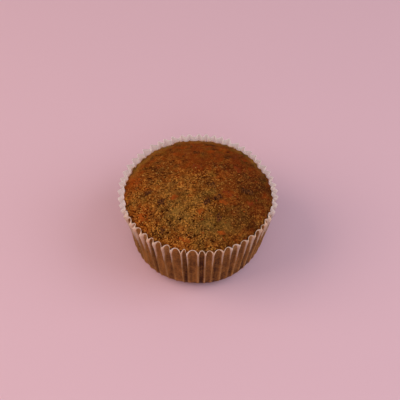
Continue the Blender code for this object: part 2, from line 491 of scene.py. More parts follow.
@dataclass(frozen=True)
class CrustFinish:
    """Browned carrot sponge: mottled, with pale grains, dark pores and tints of what is in it.

    It also has painted shade at the back, to the right and in its pits, and painted light to the
    left and on its high grains.
    """

    # browned crust, which also stands for painted shade at the back and right
    toasted_and_shaded: Colour = linear(120, 52, 17)
    baked: Colour = linear(140, 72, 16)
    # pale crumbs; where they follow the relief, painted light on the high grains
    grain: Colour = linear(206, 137, 58)
    # dark crumb, and painted shade in the relief's pits
    pore: Colour = linear(48, 14, 2)
    carrot: Colour = linear(153, 56, 9)
    olive: Colour = linear(94, 68, 18)
    # dark crumb, and painted shade at the back and right
    dark: Colour = linear(52, 26, 12)
    # pale crumb, and painted light along the edge at the back
    pale: Colour = linear(146, 108, 48)
    blotch: float = 0.006  # width of the browning's clouds
    warm_blotch: float = 0.0028  # and those of the other layers in the same way
    cool_blotch: float = 0.0042
    smudge: float = 0.0038
    mottle: float = 0.0026
    cluster: float = 0.0032  # of the groups that pale specks come in
    speck: float = 0.0005
    relief: float = 0.0003  # height of the finest bumps

    def material(self) -> Material:
        """Builds the material from the masks on the crust's points.

        From the lowest layer up: browning with painted shade at the back and right and painted
        light to the left, warm and cool clouds, smudges, mottle, the patches, then painted shade in
        the pits, and pale and dark specks whose edges follow the relief, which paints light on high
        grains and shade in low ones.

        Returns:
            The material.
        """
        graph = Graph("baked_crust")
        coarse, height = graph.mask("coarse"), graph.mask("height")
        stains = {tint: graph.mask("tint_" + tint.value) for tint in Tint}
        # browning, with painted shade at the back and right and painted light to the left
        browning_and_shade = graph.mask("browning_and_shade") + (graph.noise(self.blotch, 4, 0.6) - 0.5) * 1.4
        warmth = graph.noise(self.warm_blotch, 3, 0.6).between(0.47, 0.7)
        coolness = graph.noise(self.cool_blotch, 3, 0.6, (1, 1.2, 0.8)).between(0.48, 0.7)
        smudge = graph.noise(self.smudge, 3, 0.6, (0.9, 1.1, 1)).between(0.5, 0.66)
        mottle = graph.noise(self.mottle)
        fine = graph.noise(self.speck * 0.96, 2, 0.6)
        chance = graph.chance(self.speck)
        # its share of the relief paints light on high grains and shade in low ones
        speck = (height - 0.5) * 0.28 + (fine - 0.5) * 1.3 + (chance - 0.5) * 0.45
        loose = 0.4 + 0.7 * graph.noise(self.cluster, 3, 0.6).between(0.4, 0.58)
        loose = loose * (1 - 0.5 * (stains[Tint.OLIVE] + stains[Tint.DARK]).clamped())
        colour = graph.layers(
            self.baked,
            (browning_and_shade.clamped(), self.toasted_and_shaded),
            # painted shade where the browning mask is strongest, at the back and right
            ((browning_and_shade - 0.85).clamped() * 0.6, self.dark),
            (warmth * (0.6 + 0.35 * coarse), self.carrot),
            (coolness * (0.5 + 0.4 * coarse), self.olive),
            (smudge * 0.8, self.dark),
            (mottle.between(0.52, 0.7) * (coarse * 0.45 + 0.25), self.pore),
            (mottle.between(0.48, 0.3) * 0.4 * coarse, self.grain),
            *((mask, getattr(self, tint.value)) for tint, mask in stains.items()),
            # painted shade in the relief's pits
            (height.between(0.22, 0.0) * 0.75, self.pore),
            (speck.between(0.06, 0.34) * coarse * loose, self.grain),
            (speck.between(0.0, -0.26) * (0.1 + 0.9 * coarse), self.pore),
        )
        shader = graph.skin(
            colour,
            0.85 - chance * 0.2,
            0.015,
            Subsurface_Weight=0.05,
            Subsurface_Radius=(1.0, 0.4, 0.15),
            Subsurface_Scale=0.0006,
            Normal=graph.bump(fine, self.relief),
        )
        return graph.surface(shader)


@dataclass(frozen=True)
class ShredFinish:
    """Baked carrot: orange, browned in places, with fibres and a faint gloss, and painted shade
    on the pieces at the back and right.
    """

    flesh: Colour = linear(164, 78, 19)
    # browned carrot, and painted shade on the pieces at the back and right
    browned_and_shaded: Colour = linear(116, 40, 12)
    crumb: Colour = linear(122, 66, 18)
    cloud: float = 0.0016  # width of the browning's clouds
    dust: float = 0.0008  # width of the patches of crumb
    fibre: float = 0.0004
    relief: float = 0.00012  # height of the fibres

    def material(self) -> Material:
        """Builds the material: browned in clouds, with painted shade at the back and right, then
        dusted with crumb.

        Returns:
            The material.
        """
        graph = Graph("baked_carrot")
        cloud = graph.noise(self.cloud, 3)
        browning_with_shade = cloud.between(0.4, 0.62) * 0.6 + graph.mask("tone") * 0.3 - 0.1
        # painted shade on the pieces at the back and right
        browning_with_shade = (browning_with_shade + graph.mask("back") * 0.8).clamped()
        crumbs = graph.noise(self.dust, 2, 0.7).between(0.47, 0.58) * 0.75
        colour = graph.layers(self.flesh, (browning_with_shade, self.browned_and_shaded), (crumbs, self.crumb))
        shader = graph.skin(
            colour,
            0.6 + cloud * 0.2,
            0.06,
            Subsurface_Weight=0.15,
            Subsurface_Radius=(1.0, 0.4, 0.15),
            Subsurface_Scale=0.0008,
            Normal=graph.bump(graph.noise(self.fibre), self.relief),
        )
        return graph.surface(shader)


@dataclass(frozen=True)
class NutFinish:
    """Baked walnut: dark, purplish brown skin with a few paler breaks."""

    skin: Colour = linear(54, 24, 8)
    broken: Colour = linear(122, 70, 32)
    cloud: float = 0.0007  # width of the breaks
    wrinkle: float = 0.0005
    relief: float = 0.0002  # height of the wrinkles

    def material(self) -> Material:
        """Builds the material: breaks where a cloudy noise is high.

        Returns:
            The material.
        """
        graph = Graph("baked_walnut")
        cloud = graph.noise(self.cloud, 3, 0.75)
        colour = graph.layers(self.skin, (cloud.between(0.44, 0.6), self.broken))
        bend = graph.bump(graph.noise(self.wrinkle), self.relief)
        return graph.surface(graph.skin(colour, 0.6 + cloud * 0.25, 0.06, Normal=bend))


@dataclass(frozen=True)
class CrumbFinish:
    """Loose crumbs of the sponge, from dark brown to golden."""

    brown: Colour = linear(96, 46, 14)
    golden: Colour = linear(184, 130, 62)
    grit: float = 0.0004

    def material(self) -> Material:
        """Builds the material: each crumb's own tone, with grit.

        Returns:
            The material.
        """
        graph = Graph("sponge_crumb")
        grit = graph.noise(self.grit)
        tone = (graph.mask("tone") + (grit - 0.5) * 0.8).clamped()
        colour = graph.layers(self.brown, (tone, self.golden))
        return graph.surface(graph.skin(colour, 0.95 - grit * 0.2, 0.06))


@dataclass(frozen=True)
class PaperFinish:
    """Thin greaseproof paper: whitish where bare, brown where it clings to the moist cake, with
    painted shade in the creases beside its ridges and a painted highlight along them.
    """

    bare: Colour = linear(252, 246, 242)
    cream: Colour = linear(255, 238, 220)
    thin: Colour = linear(206, 156, 98)
    soaked: Colour = linear(160, 106, 50)
    # darkest stain, and the painted shade in the creases beside the ridges
    deep: Colour = linear(60, 26, 5)
    glow: float = 0.75  # share of the light on bare paper that goes through it
    blotch: float = 0.0034  # width of the stain's clouds
    fibre: float = 0.0010  # width of the fibres' clouds
    relief: float = 0.00006  # height of the fibres

    def material(self) -> Material:
        """Builds the material: a dull sheet that also lets light through where it is bare.

        The stain runs from bare to cream, to a thin tan, to brown, which is darker where it is
        soaked and in the painted shade of the creases beside the ridges. Clouds and fibres shift it,
        most where it is half stained.

        Returns:
            The material.
        """
        graph = Graph("greaseproof_paper")
        cloud = graph.noise(self.blotch, 3, 0.6, (1, 1, 0.6)) - 0.5
        fibre = graph.noise(self.fibre, 3, 0.7)
        cling = graph.mask("cling")
        wander = (cloud * 3.0 + (fibre - 0.5) * 2.0) * cling * (1 - cling)
        stain = (cling + wander).clamped()
        # stain darkness, with painted shade in the creases beside the ridges
        depth = (graph.mask("paper_darkness") + cloud * 1.5 + (fibre - 0.5) * 1.6).clamped()
        brown = graph.layers(self.soaked, (depth, self.deep))
        tan = graph.layers(self.thin, (stain.between(0.35, 1.0), brown))
        paleness = (stain.between(0.0, 0.1), self.cream)
        colour = graph.layers(self.bare, paleness, (stain.between(0.08, 0.6), tan))
        bend = graph.bump(fibre, self.relief)
        sheet = graph.skin(colour, 0.7 - stain * 0.12, 0.05, Normal=bend)
        through = graph.node("ShaderNodeBsdfTranslucent", {"Color": colour, "Normal": bend})
        values = {0: self.glow * (1 - stain), 1: sheet, 2: through.outputs[0]}
        return graph.surface(graph.node("ShaderNodeMixShader", values).outputs[0])


@dataclass(frozen=True)
class FloorFinish:
    """Plain, pale, matt board."""

    board: Colour = linear(225, 184, 195)

    def material(self) -> Material:
        """Builds the material, which is one plain colour."""
        graph = Graph("pale_board")
        return graph.surface(graph.skin(self.board, 0.8, 0.2))


# --- the folded sheet ---------------------------------------------------------------------------


@dataclass(frozen=True)
class Dent:
    """A place where the cup is pushed in: a bell curve in angle and in height."""

    angle: float  # of its middle, in degrees
    height: float  # of its middle, as a share of the rim's
    width: float  # degrees from the middle at which it has faded to a third
    reach: float  # the same in height, as a share of the rim's
    depth: float  # how far it goes in, as a share of the radius, or out if below 0


DENTS = (
    Dent(36, 1.0, 28, 0.6, 0.034),
    Dent(92, 1.0, 24, 0.6, 0.014),
    Dent(-14, 1.0, 16, 0.5, -0.010),
    Dent(198, 0.5, 26, 0.35, 0.032),
    Dent(-38, 0.2, 26, 0.35, 0.016),
    Dent(-95, 0.1, 20, 0.3, 0.012),
)


@dataclass
class FoldedSheet:
    """The round sheet of paper and how it is folded into a cup, with the sizes of its solid."""

    sheet_radius: float = 0.0572
    flat_radius: float = 0.0195  # of the base that stays flat
    corner_radius: float = 0.0090  # of the turn from the base to the wall
    wall_tilt: float = math.radians(9.7)  # how far the wall leans out from upright
    pleats: int = 56
    fold_stray: float = 0.17  # how far a fold strays from even spacing, in pleats
    depth_loss: float = 0.25  # the most that a pleat is shallower than it could be, as a share
    fold_rise: float = 0.3  # how much higher an inner fold ends, as a share of its depth
    out_of_round: float = 0.004  # how much wider along X the cup is, and narrower along Y
    rim_height: float = 0.033  # what the heights of the dents are shares of
    roundness: float = 2.8  # over 2, the inner fold's middle is flatter
    openness: float = 1.8  # under 2, the outer fold's ridge is wider at its foot
    ridge_round: float = 0.06  # how rounded the ridge's tip is, as a share of the depth
    rim_round: float = 0.3  # the same at the rim
    spring_front: float = 0.15  # how open the rim's pleats spring where the cake comes up to it
    spring_back: float = 0.7  # the same elsewhere: 0 is pressed, and 1 is a plain wave
    spring_reach: float = 0.006  # distance below the rim at which that has died out
    front_ends: tuple[float, float] = (0.58, 0.18)  # radii forward: all in front, all behind
    first_in_front: int = 34  # the first of the folds in front, counted from +X
    front_strays: tuple[float, ...] = (  # instead of the drawn ones
        *(-0.18, -0.02, 0.06, -0.17, -0.06, 0.04, 0.13, -0.20, 0.06),
        *(-0.12, -0.27, -0.11, -0.08, -0.21, -0.15, -0.09, 0.06, -0.04),
    )
    front_depths: tuple[float, ...] = (  # of the pleats after those, as shares of the full depth
        *(0.94, 0.88, 0.88, 0.80, 0.88, 0.75, 0.80, 0.72, 0.66),
        *(0.58, 0.46, 0.50, 0.50, 0.46, 0.50, 0.48, 0.55, 0.70),
    )
    angles: Array = field(init=False)
    depths: Array = field(init=False)

    def __post_init__(self) -> None:
        """Draws each fold's angle and each pleat's depth, in the same order as the solid does."""
        draw = random.Random(Draw.FOLDS)
        strays = []
        depths = []
        for _ in range(self.pleats):
            strays.append(draw.uniform(-self.fold_stray, self.fold_stray))
            depths.append(1 - draw.uniform(0, self.depth_loss))
        first = self.first_in_front
        strays[first : first + len(self.front_strays)] = self.front_strays
        depths[first : first + len(self.front_depths)] = self.front_depths
        angles = 2 * math.pi * (np.arange(self.pleats) + strays) / self.pleats
        self.angles = np.append(angles, angles[0] + 2 * math.pi)
        self.depths = np.array(depths)

    def turn_at(self, along: Array) -> Array:
        """How far the sheet has turned up, this far along it."""
        turn = np.maximum(along - self.flat_radius, 0) / self.corner_radius
        return np.minimum(turn, math.pi / 2 - self.wall_tilt)

    def outer_fold(self, along: Array) -> tuple[Array, Array]:
        """Outline on an outer fold: flat, then an arc, then the straight wall.

        Args:
            along: distance along the sheet.

        Returns:
            Radius and height.
        """
        turn = self.turn_at(along)
        straight = np.maximum(along - self.flat_radius - self.corner_radius * turn, 0)
        radius = np.minimum(along, self.flat_radius)
        radius = radius + self.corner_radius * np.sin(turn) + straight * np.cos(turn)
        height = self.corner_radius * (1 - np.cos(turn)) + straight * np.sin(turn)
        return radius, height

    def pleat_depth(self, along: Array) -> Array:
        """Full depth of a pleat, which takes up the spare paper as a half ellipse.

        Half of the ellipse's arc is nearly (a to the p plus b to the p) to the 1 / p long. That
        length is the flat sheet's share of half a pleat, a is the cup's share, and b the depth.

        Args:
            along: distance along the sheet.

        Returns:
            The depth.
        """
        power = math.log(2) / math.log(math.pi / 2)
        radius, _ = self.outer_fold(along)
        spare = np.maximum(along**power - radius**power, 0)
        return math.pi / self.pleats * spare ** (1 / power)

    def angle_at(self, pleat: Array) -> Array:
        """Angle of a place that is counted in pleats from the first outer fold."""
        return np.interp(pleat, np.arange(self.pleats + 1), self.angles)

    def pleat_at(self, angle: Array) -> Array:
        """Place around at an angle: the inverse of angle_at.

        Args:
            angle: angle from +X.

        Returns:
            Place counted in pleats from the first outer fold.
        """
        start = self.angles[0]
        turned = start + np.mod(angle - start, 2 * math.pi)
        return np.interp(turned, self.angles, np.arange(self.pleats + 1))

    def index_of(self, pleat: Array) -> Array:
        """Number of the pleat that a place around is in."""
        return np.floor(pleat).astype(int) % self.pleats

    def near_rim(self, along: Array) -> Array:
        """How free the paper is: 1 at the rim, and 0 below the spring's reach."""
        return smooth_step(self.sheet_radius - self.spring_reach, self.sheet_radius, along)

    def behind(self, pleat: Array) -> Array:
        """How far a place is from the front, where the cake comes up to the rim: 0 to 1."""
        forward = -np.sin(self.angle_at(np.mod(pleat, self.pleats)))
        return smooth_step(*self.front_ends, forward)

    def inward(self, along: Array, pleat: Array) -> Array:
        """Cross-section of a pleat: 0 on the outer folds and 1 on the inner one.

        Pressed, it is one less the roundness power of the distance from the middle, to the power
        of one over the openness. A cosine wave is mixed in where the paper is free. The tip of
        the ridge is then rounded off.

        Args:
            along: distance along the sheet.
            pleat: place around.

        Returns:
            Share of the depth.
        """
        free = self.near_rim(along)
        distance = np.abs(2 * np.mod(pleat, 1) - 1)
        pressed = np.maximum(1 - distance**self.roundness, 0) ** (1 / self.openness)
        wave = 0.5 + 0.5 * np.cos(math.pi * distance)
        spring = self.spring_front + (self.spring_back - self.spring_front) * self.behind(pleat)
        arch = pressed + (wave - pressed) * spring * free
        blunt = self.ridge_round + (self.rim_round - self.ridge_round) * free
        return (np.sqrt(arch**2 + blunt**2) - blunt) / (np.sqrt(1 + blunt**2) - blunt)

    def dented(self, angle: Array, height: Array) -> Array:
        """Share of the radius that the dents leave.

        Args:
            angle: angle from +X.
            height: height. Above the rim, the rim's counts.

        Returns:
            One less each dent's bell curve in angle and in height.
        """
        share = np.ones(np.broadcast(angle, height).shape)
        for dent in DENTS:
            aside = np.mod(np.degrees(angle) - dent.angle + 180, 360) - 180
            above = np.minimum(height / self.rim_height, 1) - dent.height
            share -= dent.depth * np.exp(-((aside / dent.width) ** 2) - (above / dent.reach) ** 2)
        return share

    def around(self, radius: Array, angle: Array, height: Array) -> Array:
        """Points of the slightly oval and dented cup.

        Args:
            radius: distance from the axis, before the cup is dented and made oval.
            angle: angle from +X.
            height: height.

        Returns:
            The points.
        """
        radius = radius * self.dented(angle, height)
        x = radius * (1 + self.out_of_round) * np.cos(angle)
        y = radius * (1 - self.out_of_round) * np.sin(angle)
        return np.stack(np.broadcast_arrays(x, y, height), -1)


# --- the cake -----------------------------------------------------------------------------------


class Kind(Enum):
    """What a piece in the crust is."""

    CARROT = "carrot"
    NUT = "nut"


# For each piece that breaks through the crust: its place to the right and to the back, as shares
# of the dome's radius, the angle of its length in degrees, and its length in millimetres.
INCLUSIONS = {
    Kind.CARROT: (
        *((0.03, -0.48, 10, 4.2), (0.37, -0.32, -8, 5.2), (0.74, -0.31, 25, 4.2)),
        *((0.42, -0.17, -32, 6.8), (-0.02, 0.34, -12, 5.6), (-0.33, -0.25, 60, 3.6)),
        *((-0.78, -0.50, 123, 6.2), (-0.19, -0.90, -12, 5.8), (0.32, -0.82, 20, 5.6)),
        *((-0.87, 0.18, 80, 6.0), (0.58, 0.32, -50, 5.6)),
    ),
    Kind.NUT: (
        *((-0.70, -0.10, 60, 4.6), (-0.51, -0.32, -50, 3.6), (0.13, -0.33, 10, 4.0)),
        *((0.29, -0.25, 20, 4.4), (0.70, -0.11, -10, 6.2), (0.29, -0.58, -30, 4.2)),
        *((-0.50, -0.75, 30, 3.6), (0.21, -0.03, -5, 4.8)),
    ),
}

# For each patch of a tint: its place to the right and to the back, as shares of the dome's
# radius, the millimetres at which it has faded to a third, and its strength in the middle.
PATCHES = {
    Tint.CARROT: (
        *((-0.82, -0.50, 4.2, 0.8), (-0.19, -0.92, 4.4, 0.7), (0.32, -0.82, 4.4, 0.8)),
        *((0.42, -0.17, 4.4, 0.8), (-0.90, 0.18, 4.8, 0.8), (-0.02, 0.34, 4.0, 0.9)),
        *((0.74, -0.31, 4.2, 0.9), (-0.53, -0.03, 6.0, 0.4), (0.03, -0.49, 3.2, 0.8)),
        *((0.58, 0.32, 4.0, 0.4), (0.42, 0.06, 4.4, 0.5), (-0.16, 0.04, 9.0, 0.35)),
        *((-0.56, 0.16, 6.0, 0.3), (0.33, 0.18, 3.6, 0.35), (-0.33, -0.25, 2.6, 0.5)),
        (0.37, -0.31, 4.0, 0.8),
    ),
    Tint.OLIVE: (
        *((-0.12, -0.48, 9.0, 0.6), (0.22, -0.68, 9.0, 0.85), (0.36, -0.56, 5.0, 0.5)),
        *((-0.40, -0.70, 7.0, 0.45), (0.20, -0.18, 4.0, 0.6), (0.72, -0.22, 5.0, 0.6)),
        *((0.45, -0.70, 4.0, 0.45), (0.05, -0.97, 5.0, 0.5), (0.62, -0.52, 6.0, 0.4)),
    ),
    Tint.DARK: (
        # the first, broad patch is painted shade to the right; the others are dark spots
        *((0.80, 0.02, 10.0, 0.65), (0.68, -0.10, 3.6, 0.8), (0.81, -0.18, 3.6, 0.5)),
        *((0.50, 0.30, 5.4, 0.5), (-0.57, 0.28, 6.0, 0.8), (-0.10, 0.12, 6.0, 0.35)),
        *((-0.05, 0.34, 7.0, 0.45), (0.88, -0.19, 4.0, 0.5), (-0.48, -0.58, 2.8, 0.45)),
        *((-0.30, -0.54, 2.6, 0.4), (-0.30, -0.85, 2.4, 0.45), (0.22, -0.32, 2.2, 0.4)),
        *((0.20, -0.48, 3.4, 0.5), (0.60, -0.46, 9.6, 0.6), (0.14, -0.76, 7.0, 0.7)),
        *((-0.43, -0.48, 6.4, 0.7), (0.13, 0.03, 5.0, 0.65), (0.82, -0.25, 5.4, 0.6)),
        *((0.04, -0.52, 2.4, 0.4), (0.20, -0.75, 4.4, 0.3), (-0.42, 0.53, 5.0, 0.4)),
        *((0.08, 0.49, 3.4, 0.45), (-0.50, -0.77, 3.0, 0.5), (0.28, -0.60, 3.4, 0.55)),
        *((0.16, -0.31, 3.2, 0.6), (0.21, -0.03, 3.0, 0.5), (0.03, 0.11, 2.4, 0.5)),
        *((-0.70, -0.10, 3.0, 0.45), (0.43, -0.65, 3.4, 0.65)),
    ),
    Tint.PALE: (
        *((-0.30, -0.48, 3.6, 0.8), (0.15, -0.72, 3.4, 0.65), (0.03, -0.93, 3.0, 0.3)),
        *((-0.15, -0.56, 2.6, 0.45), (-0.04, -0.34, 3.4, 0.5), (-0.38, -0.16, 5.6, 0.45)),
        *((-0.20, -0.50, 3.0, 0.4), (-0.05, -0.80, 4.0, 0.4), (-0.88, -0.20, 4.0, 0.35)),
        *((-0.40, -0.32, 3.4, 0.4), (0.08, -0.18, 2.4, 0.3), (0.40, -0.72, 2.8, 0.4)),
        (0.22, -0.17, 2.2, 0.4),
    ),
}


@dataclass
class Sponge:
    """The cake: a lumpy dome with a grainy crust, over a fluted side."""

    sheet: FoldedSheet  # the paper that it was baked in
    clearance: float = 0.0006  # from the paper's outer face to the cake's solid
    headroom: float = 0.0026  # bare paper above the cake's edge, measured along the sheet
    edge_slope: float = math.radians(24)  # how steeply the dome meets its rounded edge
    shoulder: float = 0.0015  # radius of that edge, between the dome and the side
    dome_power: float = 2.4  # 2 is a parabola, and more is flatter on top
    lopsided: float = 0.0010  # how much higher than the middle one side of the edge is
    high_side: float = math.radians(-35)
    fold_fill: float = 0.3  # bulge into the outer folds, as a share of their depth
    ragged_edge: float = 0.0008  # height of the waves of the dome's edge, but for their peaks
    ragged_cell: float = 0.0052
    ragged_peak: float = 0.7  # share of that height at which the peaks are cut off
    ragged_start: tuple[float, float] = (0.75, 0.97)  # where the waves grow, in dome radii
    ragged_end: tuple[float, float] = (1.3, 1.0)  # and where they have died out
    hump_at: float = math.radians(102)  # angle of a hump on that edge
    hump_width: float = math.radians(8)  # from its middle to where it has faded to a third
    hump_height: float = 0.0009
    gap: float = 0.0002  # from the paper's outer face to the crust, which follows each pleat
    swell_start: float = 0.003  # how far inside the edge the crust starts to spread to the pleats
    lumps: int = 90
    lump_radius: tuple[float, float] = (0.0018, 0.0052)
    lump_height: float = 0.0007  # the most that one rises or sinks
    lumps_end: float = 0.88  # share of the dome's radius where they start to fade out
    warp: tuple[float, float] = (0.0023, 0.0006)  # cell and size of the bends in the crumb
    cobble: tuple[float, float] = (0.0011, 0.00026)  # cell and relief
    grit: tuple[float, float] = (0.0007, 0.00012)
    swell: tuple[float, float] = (0.0027, 0.00022)
    pore: tuple[float, float] = (0.0021, 0.0006)
    pore_reach: tuple[float, float] = (0.42, 0.1)  # cells from its seed: where it starts, and its floor
    pore_share: tuple[float, float] = (0.34, 0.2)  # share of the cells with one, and with a deep one
    grain_end: float = 0.3  # share of the way down the side at which the grain has died out
    calm: tuple[float, float] = (0.011, 0.25)  # cell and size of the wander of the next
    calm_back: tuple[float, float] = (0.76, -0.24)  # where the grain grows, from the back on
    calm_edge: tuple[float, float] = (1.02, 0.86)  # and from the edge in, as shares of the radius
    calm_and_shade_right: tuple[float, float] = (-0.1, 0.7)  # where it gets less again, to the right, where fewer pale grains paint shade
    brown_and_shade_back: tuple[float, float] = (0.0, 0.78)  # where painted shade and browning darken the crust, to the back
    # where painted shade darkens the crust, to the right
    shade_right: tuple[float, float] = (-0.1, 0.8)
    # and where it gets darker, to the front
    darker_front: tuple[float, float] = (-0.3, -0.9)
    lit_left: tuple[float, float] = (-0.2, -0.8)  # and where painted light makes it paler, to the left
    painted_edge_light: float = 0.4  # how much painted light brightens the crust along its edge at the back
    ragged_patch: float = 0.0024  # cell of the wander of the patches' edges
    grid: int = 283  # points along each side of the square grid that is laid over the dome
    arc_rings: tuple[float, ...] = (0.2, 0.4, 0.6, 0.8, 1.0)  # shares of the way round the edge
    side_rings: tuple[float, ...] = (0.03, 0.08, 0.2, 0.4, 0.6, 0.75, 0.88, 1.0)  # down the side
    base_ring: float = 0.97  # and in along the base
    finish: CrustFinish = CrustFinish()
    edge: float = field(init=False)  # the dome's radius, where its rounded edge starts
    edge_height: float = field(init=False)
    side_top: float = field(init=False)  # height at which that edge meets the side
    arc: float = field(init=False)  # length of its section
    lump_list: list[tuple[float, float, float, float]] = field(init=False)

    def __post_init__(self) -> None:
        """Works out where the dome ends and draws its lumps, in the same order as the solid."""
        top = np.array(self.sheet.sheet_radius - self.headroom)
        radius, height = self.beside_paper(top)
        self.edge = float(radius) - self.shoulder * (1 - math.sin(self.edge_slope))
        self.edge_height = float(height) + self.shoulder * math.cos(self.edge_slope)
        self.side_top = float(height)
        self.arc = self.shoulder * (math.pi / 2 - self.edge_slope)
        draw = random.Random(Draw.LUMPS)
        self.lump_list = []
        for _ in range(self.lumps):
            reach = self.edge * math.sqrt(draw.random())
            angle = draw.uniform(0, 2 * math.pi)
            size = draw.uniform(*self.lump_radius)
            rise = draw.uniform(-self.lump_height, self.lump_height)
            self.lump_list.append((reach * math.cos(angle), reach * math.sin(angle), size, rise))

    def beside_paper(self, along: Array) -> tuple[Array, Array]:
        """Outline of the cake's side, clear of the inner folds.

        Args:
            along: distance along the sheet.

        Returns:
            Radius and height.
        """
        radius, height = self.sheet.outer_fold(along)
        depth = self.sheet.pleat_depth(along)
        turn = self.sheet.turn_at(along)
        radius = radius - depth - self.clearance * np.sin(turn)
        height = height + self.sheet.fold_rise * depth + self.clearance * np.cos(turn)
        return radius, height

    def dome(self, radius: Array, x: Array, y: Array) -> Array:
        """Height of the crust before its grain.

        The dome falls with the dome_power of the radius, down to the slope at its edge. Each
        lump adds a bell curve, and the lopsided bake adds a slope.

        Args:
            radius: distance from the axis, before the cake is made oval.
            x: places to the right.
            y: places to the back.

        Returns:
            Heights.
        """
        rise = math.tan(self.edge_slope) * self.edge / self.dome_power
        rise = rise * (1 - np.minimum(radius / self.edge, 1) ** self.dome_power)
        share = np.clip((1 - radius / self.edge) / (1 - self.lumps_end), 0, 1)
        bumps = np.zeros(np.shape(x))
        for lump_x, lump_y, size, lift in self.lump_list:
            bumps += lift * np.exp(-((x - lump_x) ** 2 + (y - lump_y) ** 2) / size**2)
        return self.edge_height + rise + bumps * share + self.lean(x, y)

    def lean(self, x: Array, y: Array) -> Array:
        """Height that the lopsided bake adds: a slope across the cake."""
        slope = x * math.cos(self.high_side) + y * math.sin(self.high_side)
        return self.lopsided * slope / self.edge

    def bulge(self, along: Array, angle: Array) -> Array:
        """How far the crust's side lies outside beside_paper, as it follows each pleat.

        Its reach in towards the axis is the pleat's own depth, less the fold_fill share of it with
        the square of the way to the outer folds. Close to a fold, the depths of the two pleats
        that meet there are blended with the fourth power of that way.

        Args:
            along: distance along the sheet.
            angle: angle from +X.

        Returns:
            The distance.
        """
        sheet = self.sheet
        place = sheet.pleat_at(angle)
        share = np.mod(place, 1)
        index = sheet.index_of(place)
        beside = (index + np.where(share < 0.5, -1, 1)) % sheet.pleats
        away = np.abs(2 * share - 1)
        own = sheet.depths[index]
        own = own + (sheet.depths[beside] - own) / 2 * away**4
        reach = own * (1 - self.fold_fill * away**2)
        slack = (self.clearance - self.gap) * np.sin(sheet.turn_at(along))
        return sheet.pleat_depth(along) * (1 - reach) + slack

    def smooth_points(self, path: Array, angle: Array) -> Array:
        """The cake's surface before its grain.

        Args:
            path: distance from the top's middle, over the dome as seen from above, then along the
                shoulder's arc, down the side and in along the base.
            angle: angle from +X.

        Returns:
            The points.
        """
        sheet = self.sheet
        top = sheet.sheet_radius - self.headroom
        turn = self.edge_slope + np.clip(path - self.edge, 0, self.arc) / self.shoulder
        down = np.maximum(path - self.edge - self.arc, 0)
        beyond = np.maximum(down - (top - sheet.flat_radius), 0)
        along = np.clip(top - down, sheet.flat_radius, top)
        side_radius, side_height = self.beside_paper(along)
        arc_radius = self.edge + self.shoulder * (np.sin(turn) - math.sin(self.edge_slope))
        radius = np.where(path <= self.edge, path, arc_radius)
        radius = np.where(down > 0, side_radius - beyond, radius)
        spread = smooth_step(self.edge - self.swell_start, self.edge + self.arc, path)
        swelling = np.where(beyond > 0, 0, self.bulge(along, angle) * spread)
        points = sheet.around(radius, angle, side_height)
        x, y = points[..., 0], points[..., 1]
        crust = self.dome(radius, x, y)
        crust = crust - self.shoulder * (math.cos(self.edge_slope) - np.cos(turn))
        share = path / self.edge
        near_edge = smooth_step(*self.ragged_start, share) * smooth_step(*self.ragged_end, share)
        wander = Grain(self.ragged_cell, Pattern.EDGE).smooth(points * (1, 1, 0))
        wander = np.clip(wander, -self.ragged_peak, self.ragged_peak)
        crust = crust + self.ragged_edge * wander * near_edge
        aside = np.mod(angle - self.hump_at + math.pi, 2 * math.pi) - math.pi
        crust = crust + self.hump_height * bell(aside, self.hump_width) * near_edge
        points = sheet.around(radius + swelling, angle, side_height)
        fade = np.clip(2 * side_height / self.side_top - 1, 0, 1)
        points[..., 2] = np.where(down > 0, side_height + self.lean(x, y) * fade, crust)
        return points

    def normals(self, path: Array, angle: Array) -> Array:
        """Outward directions, from small steps along and across the surface of smooth_points.

        Args:
            path: see smooth_points.
            angle: angle from +X.

        Returns:
            Unit vectors.
        """
        step = 0.1 * MM
        out = np.maximum(path, 2 * step)
        along = self.smooth_points(out + step, angle) - self.smooth_points(out - step, angle)
        turn = step / out
        across = self.smooth_points(out, angle + turn) - self.smooth_points(out, angle - turn)
        normal = np.cross(along, across)
        return normal / np.maximum(np.linalg.norm(normal, axis=-1, keepdims=True), 1e-12)

    def stand(self, x: Array, y: Array) -> tuple[Array, Array]:
        """Where something stands on the dome.

        Args:
            x: places to the right.
            y: places to the back.

        Returns:
            Points of the smooth crust, and the directions out of it.
        """
        oval = self.sheet.out_of_round
        wide, deep = x / (1 + oval), y / (1 - oval)
        angle = np.arctan2(deep, wide)
        radius = np.hypot(wide, deep) / self.sheet.dented(angle, self.edge_height)
        return self.smooth_points(radius, angle), self.normals(radius, angle)

    def disc(self) -> tuple[Array, Array]:
        """Even spread of points over a disc: each square ring of a grid becomes a round one.

        Returns:
            Radius as a share of the disc's, and angle, for the grid's rows and columns.
        """
        line = np.linspace(-1, 1, self.grid)
        b, a = np.meshgrid(line, line, indexing="ij")
        wide = np.abs(a) >= np.abs(b)
        big = np.where(wide, a, b)
        small = np.where(wide, b, a)
        quarter = math.pi / 4 * small / np.where(big == 0, 1, big)
        angle = np.where(wide, quarter, math.pi / 2 - quarter)
        return np.abs(big), np.where(big < 0, angle + math.pi, angle)

    def shares(self, points: Array) -> tuple[Array, Array, Array]:
        """Places to the right, to the back and from the middle, as shares of the dome's radius."""
        x, y = points[..., 0] / self.edge, points[..., 1] / self.edge
        return x, y, np.hypot(x, y)

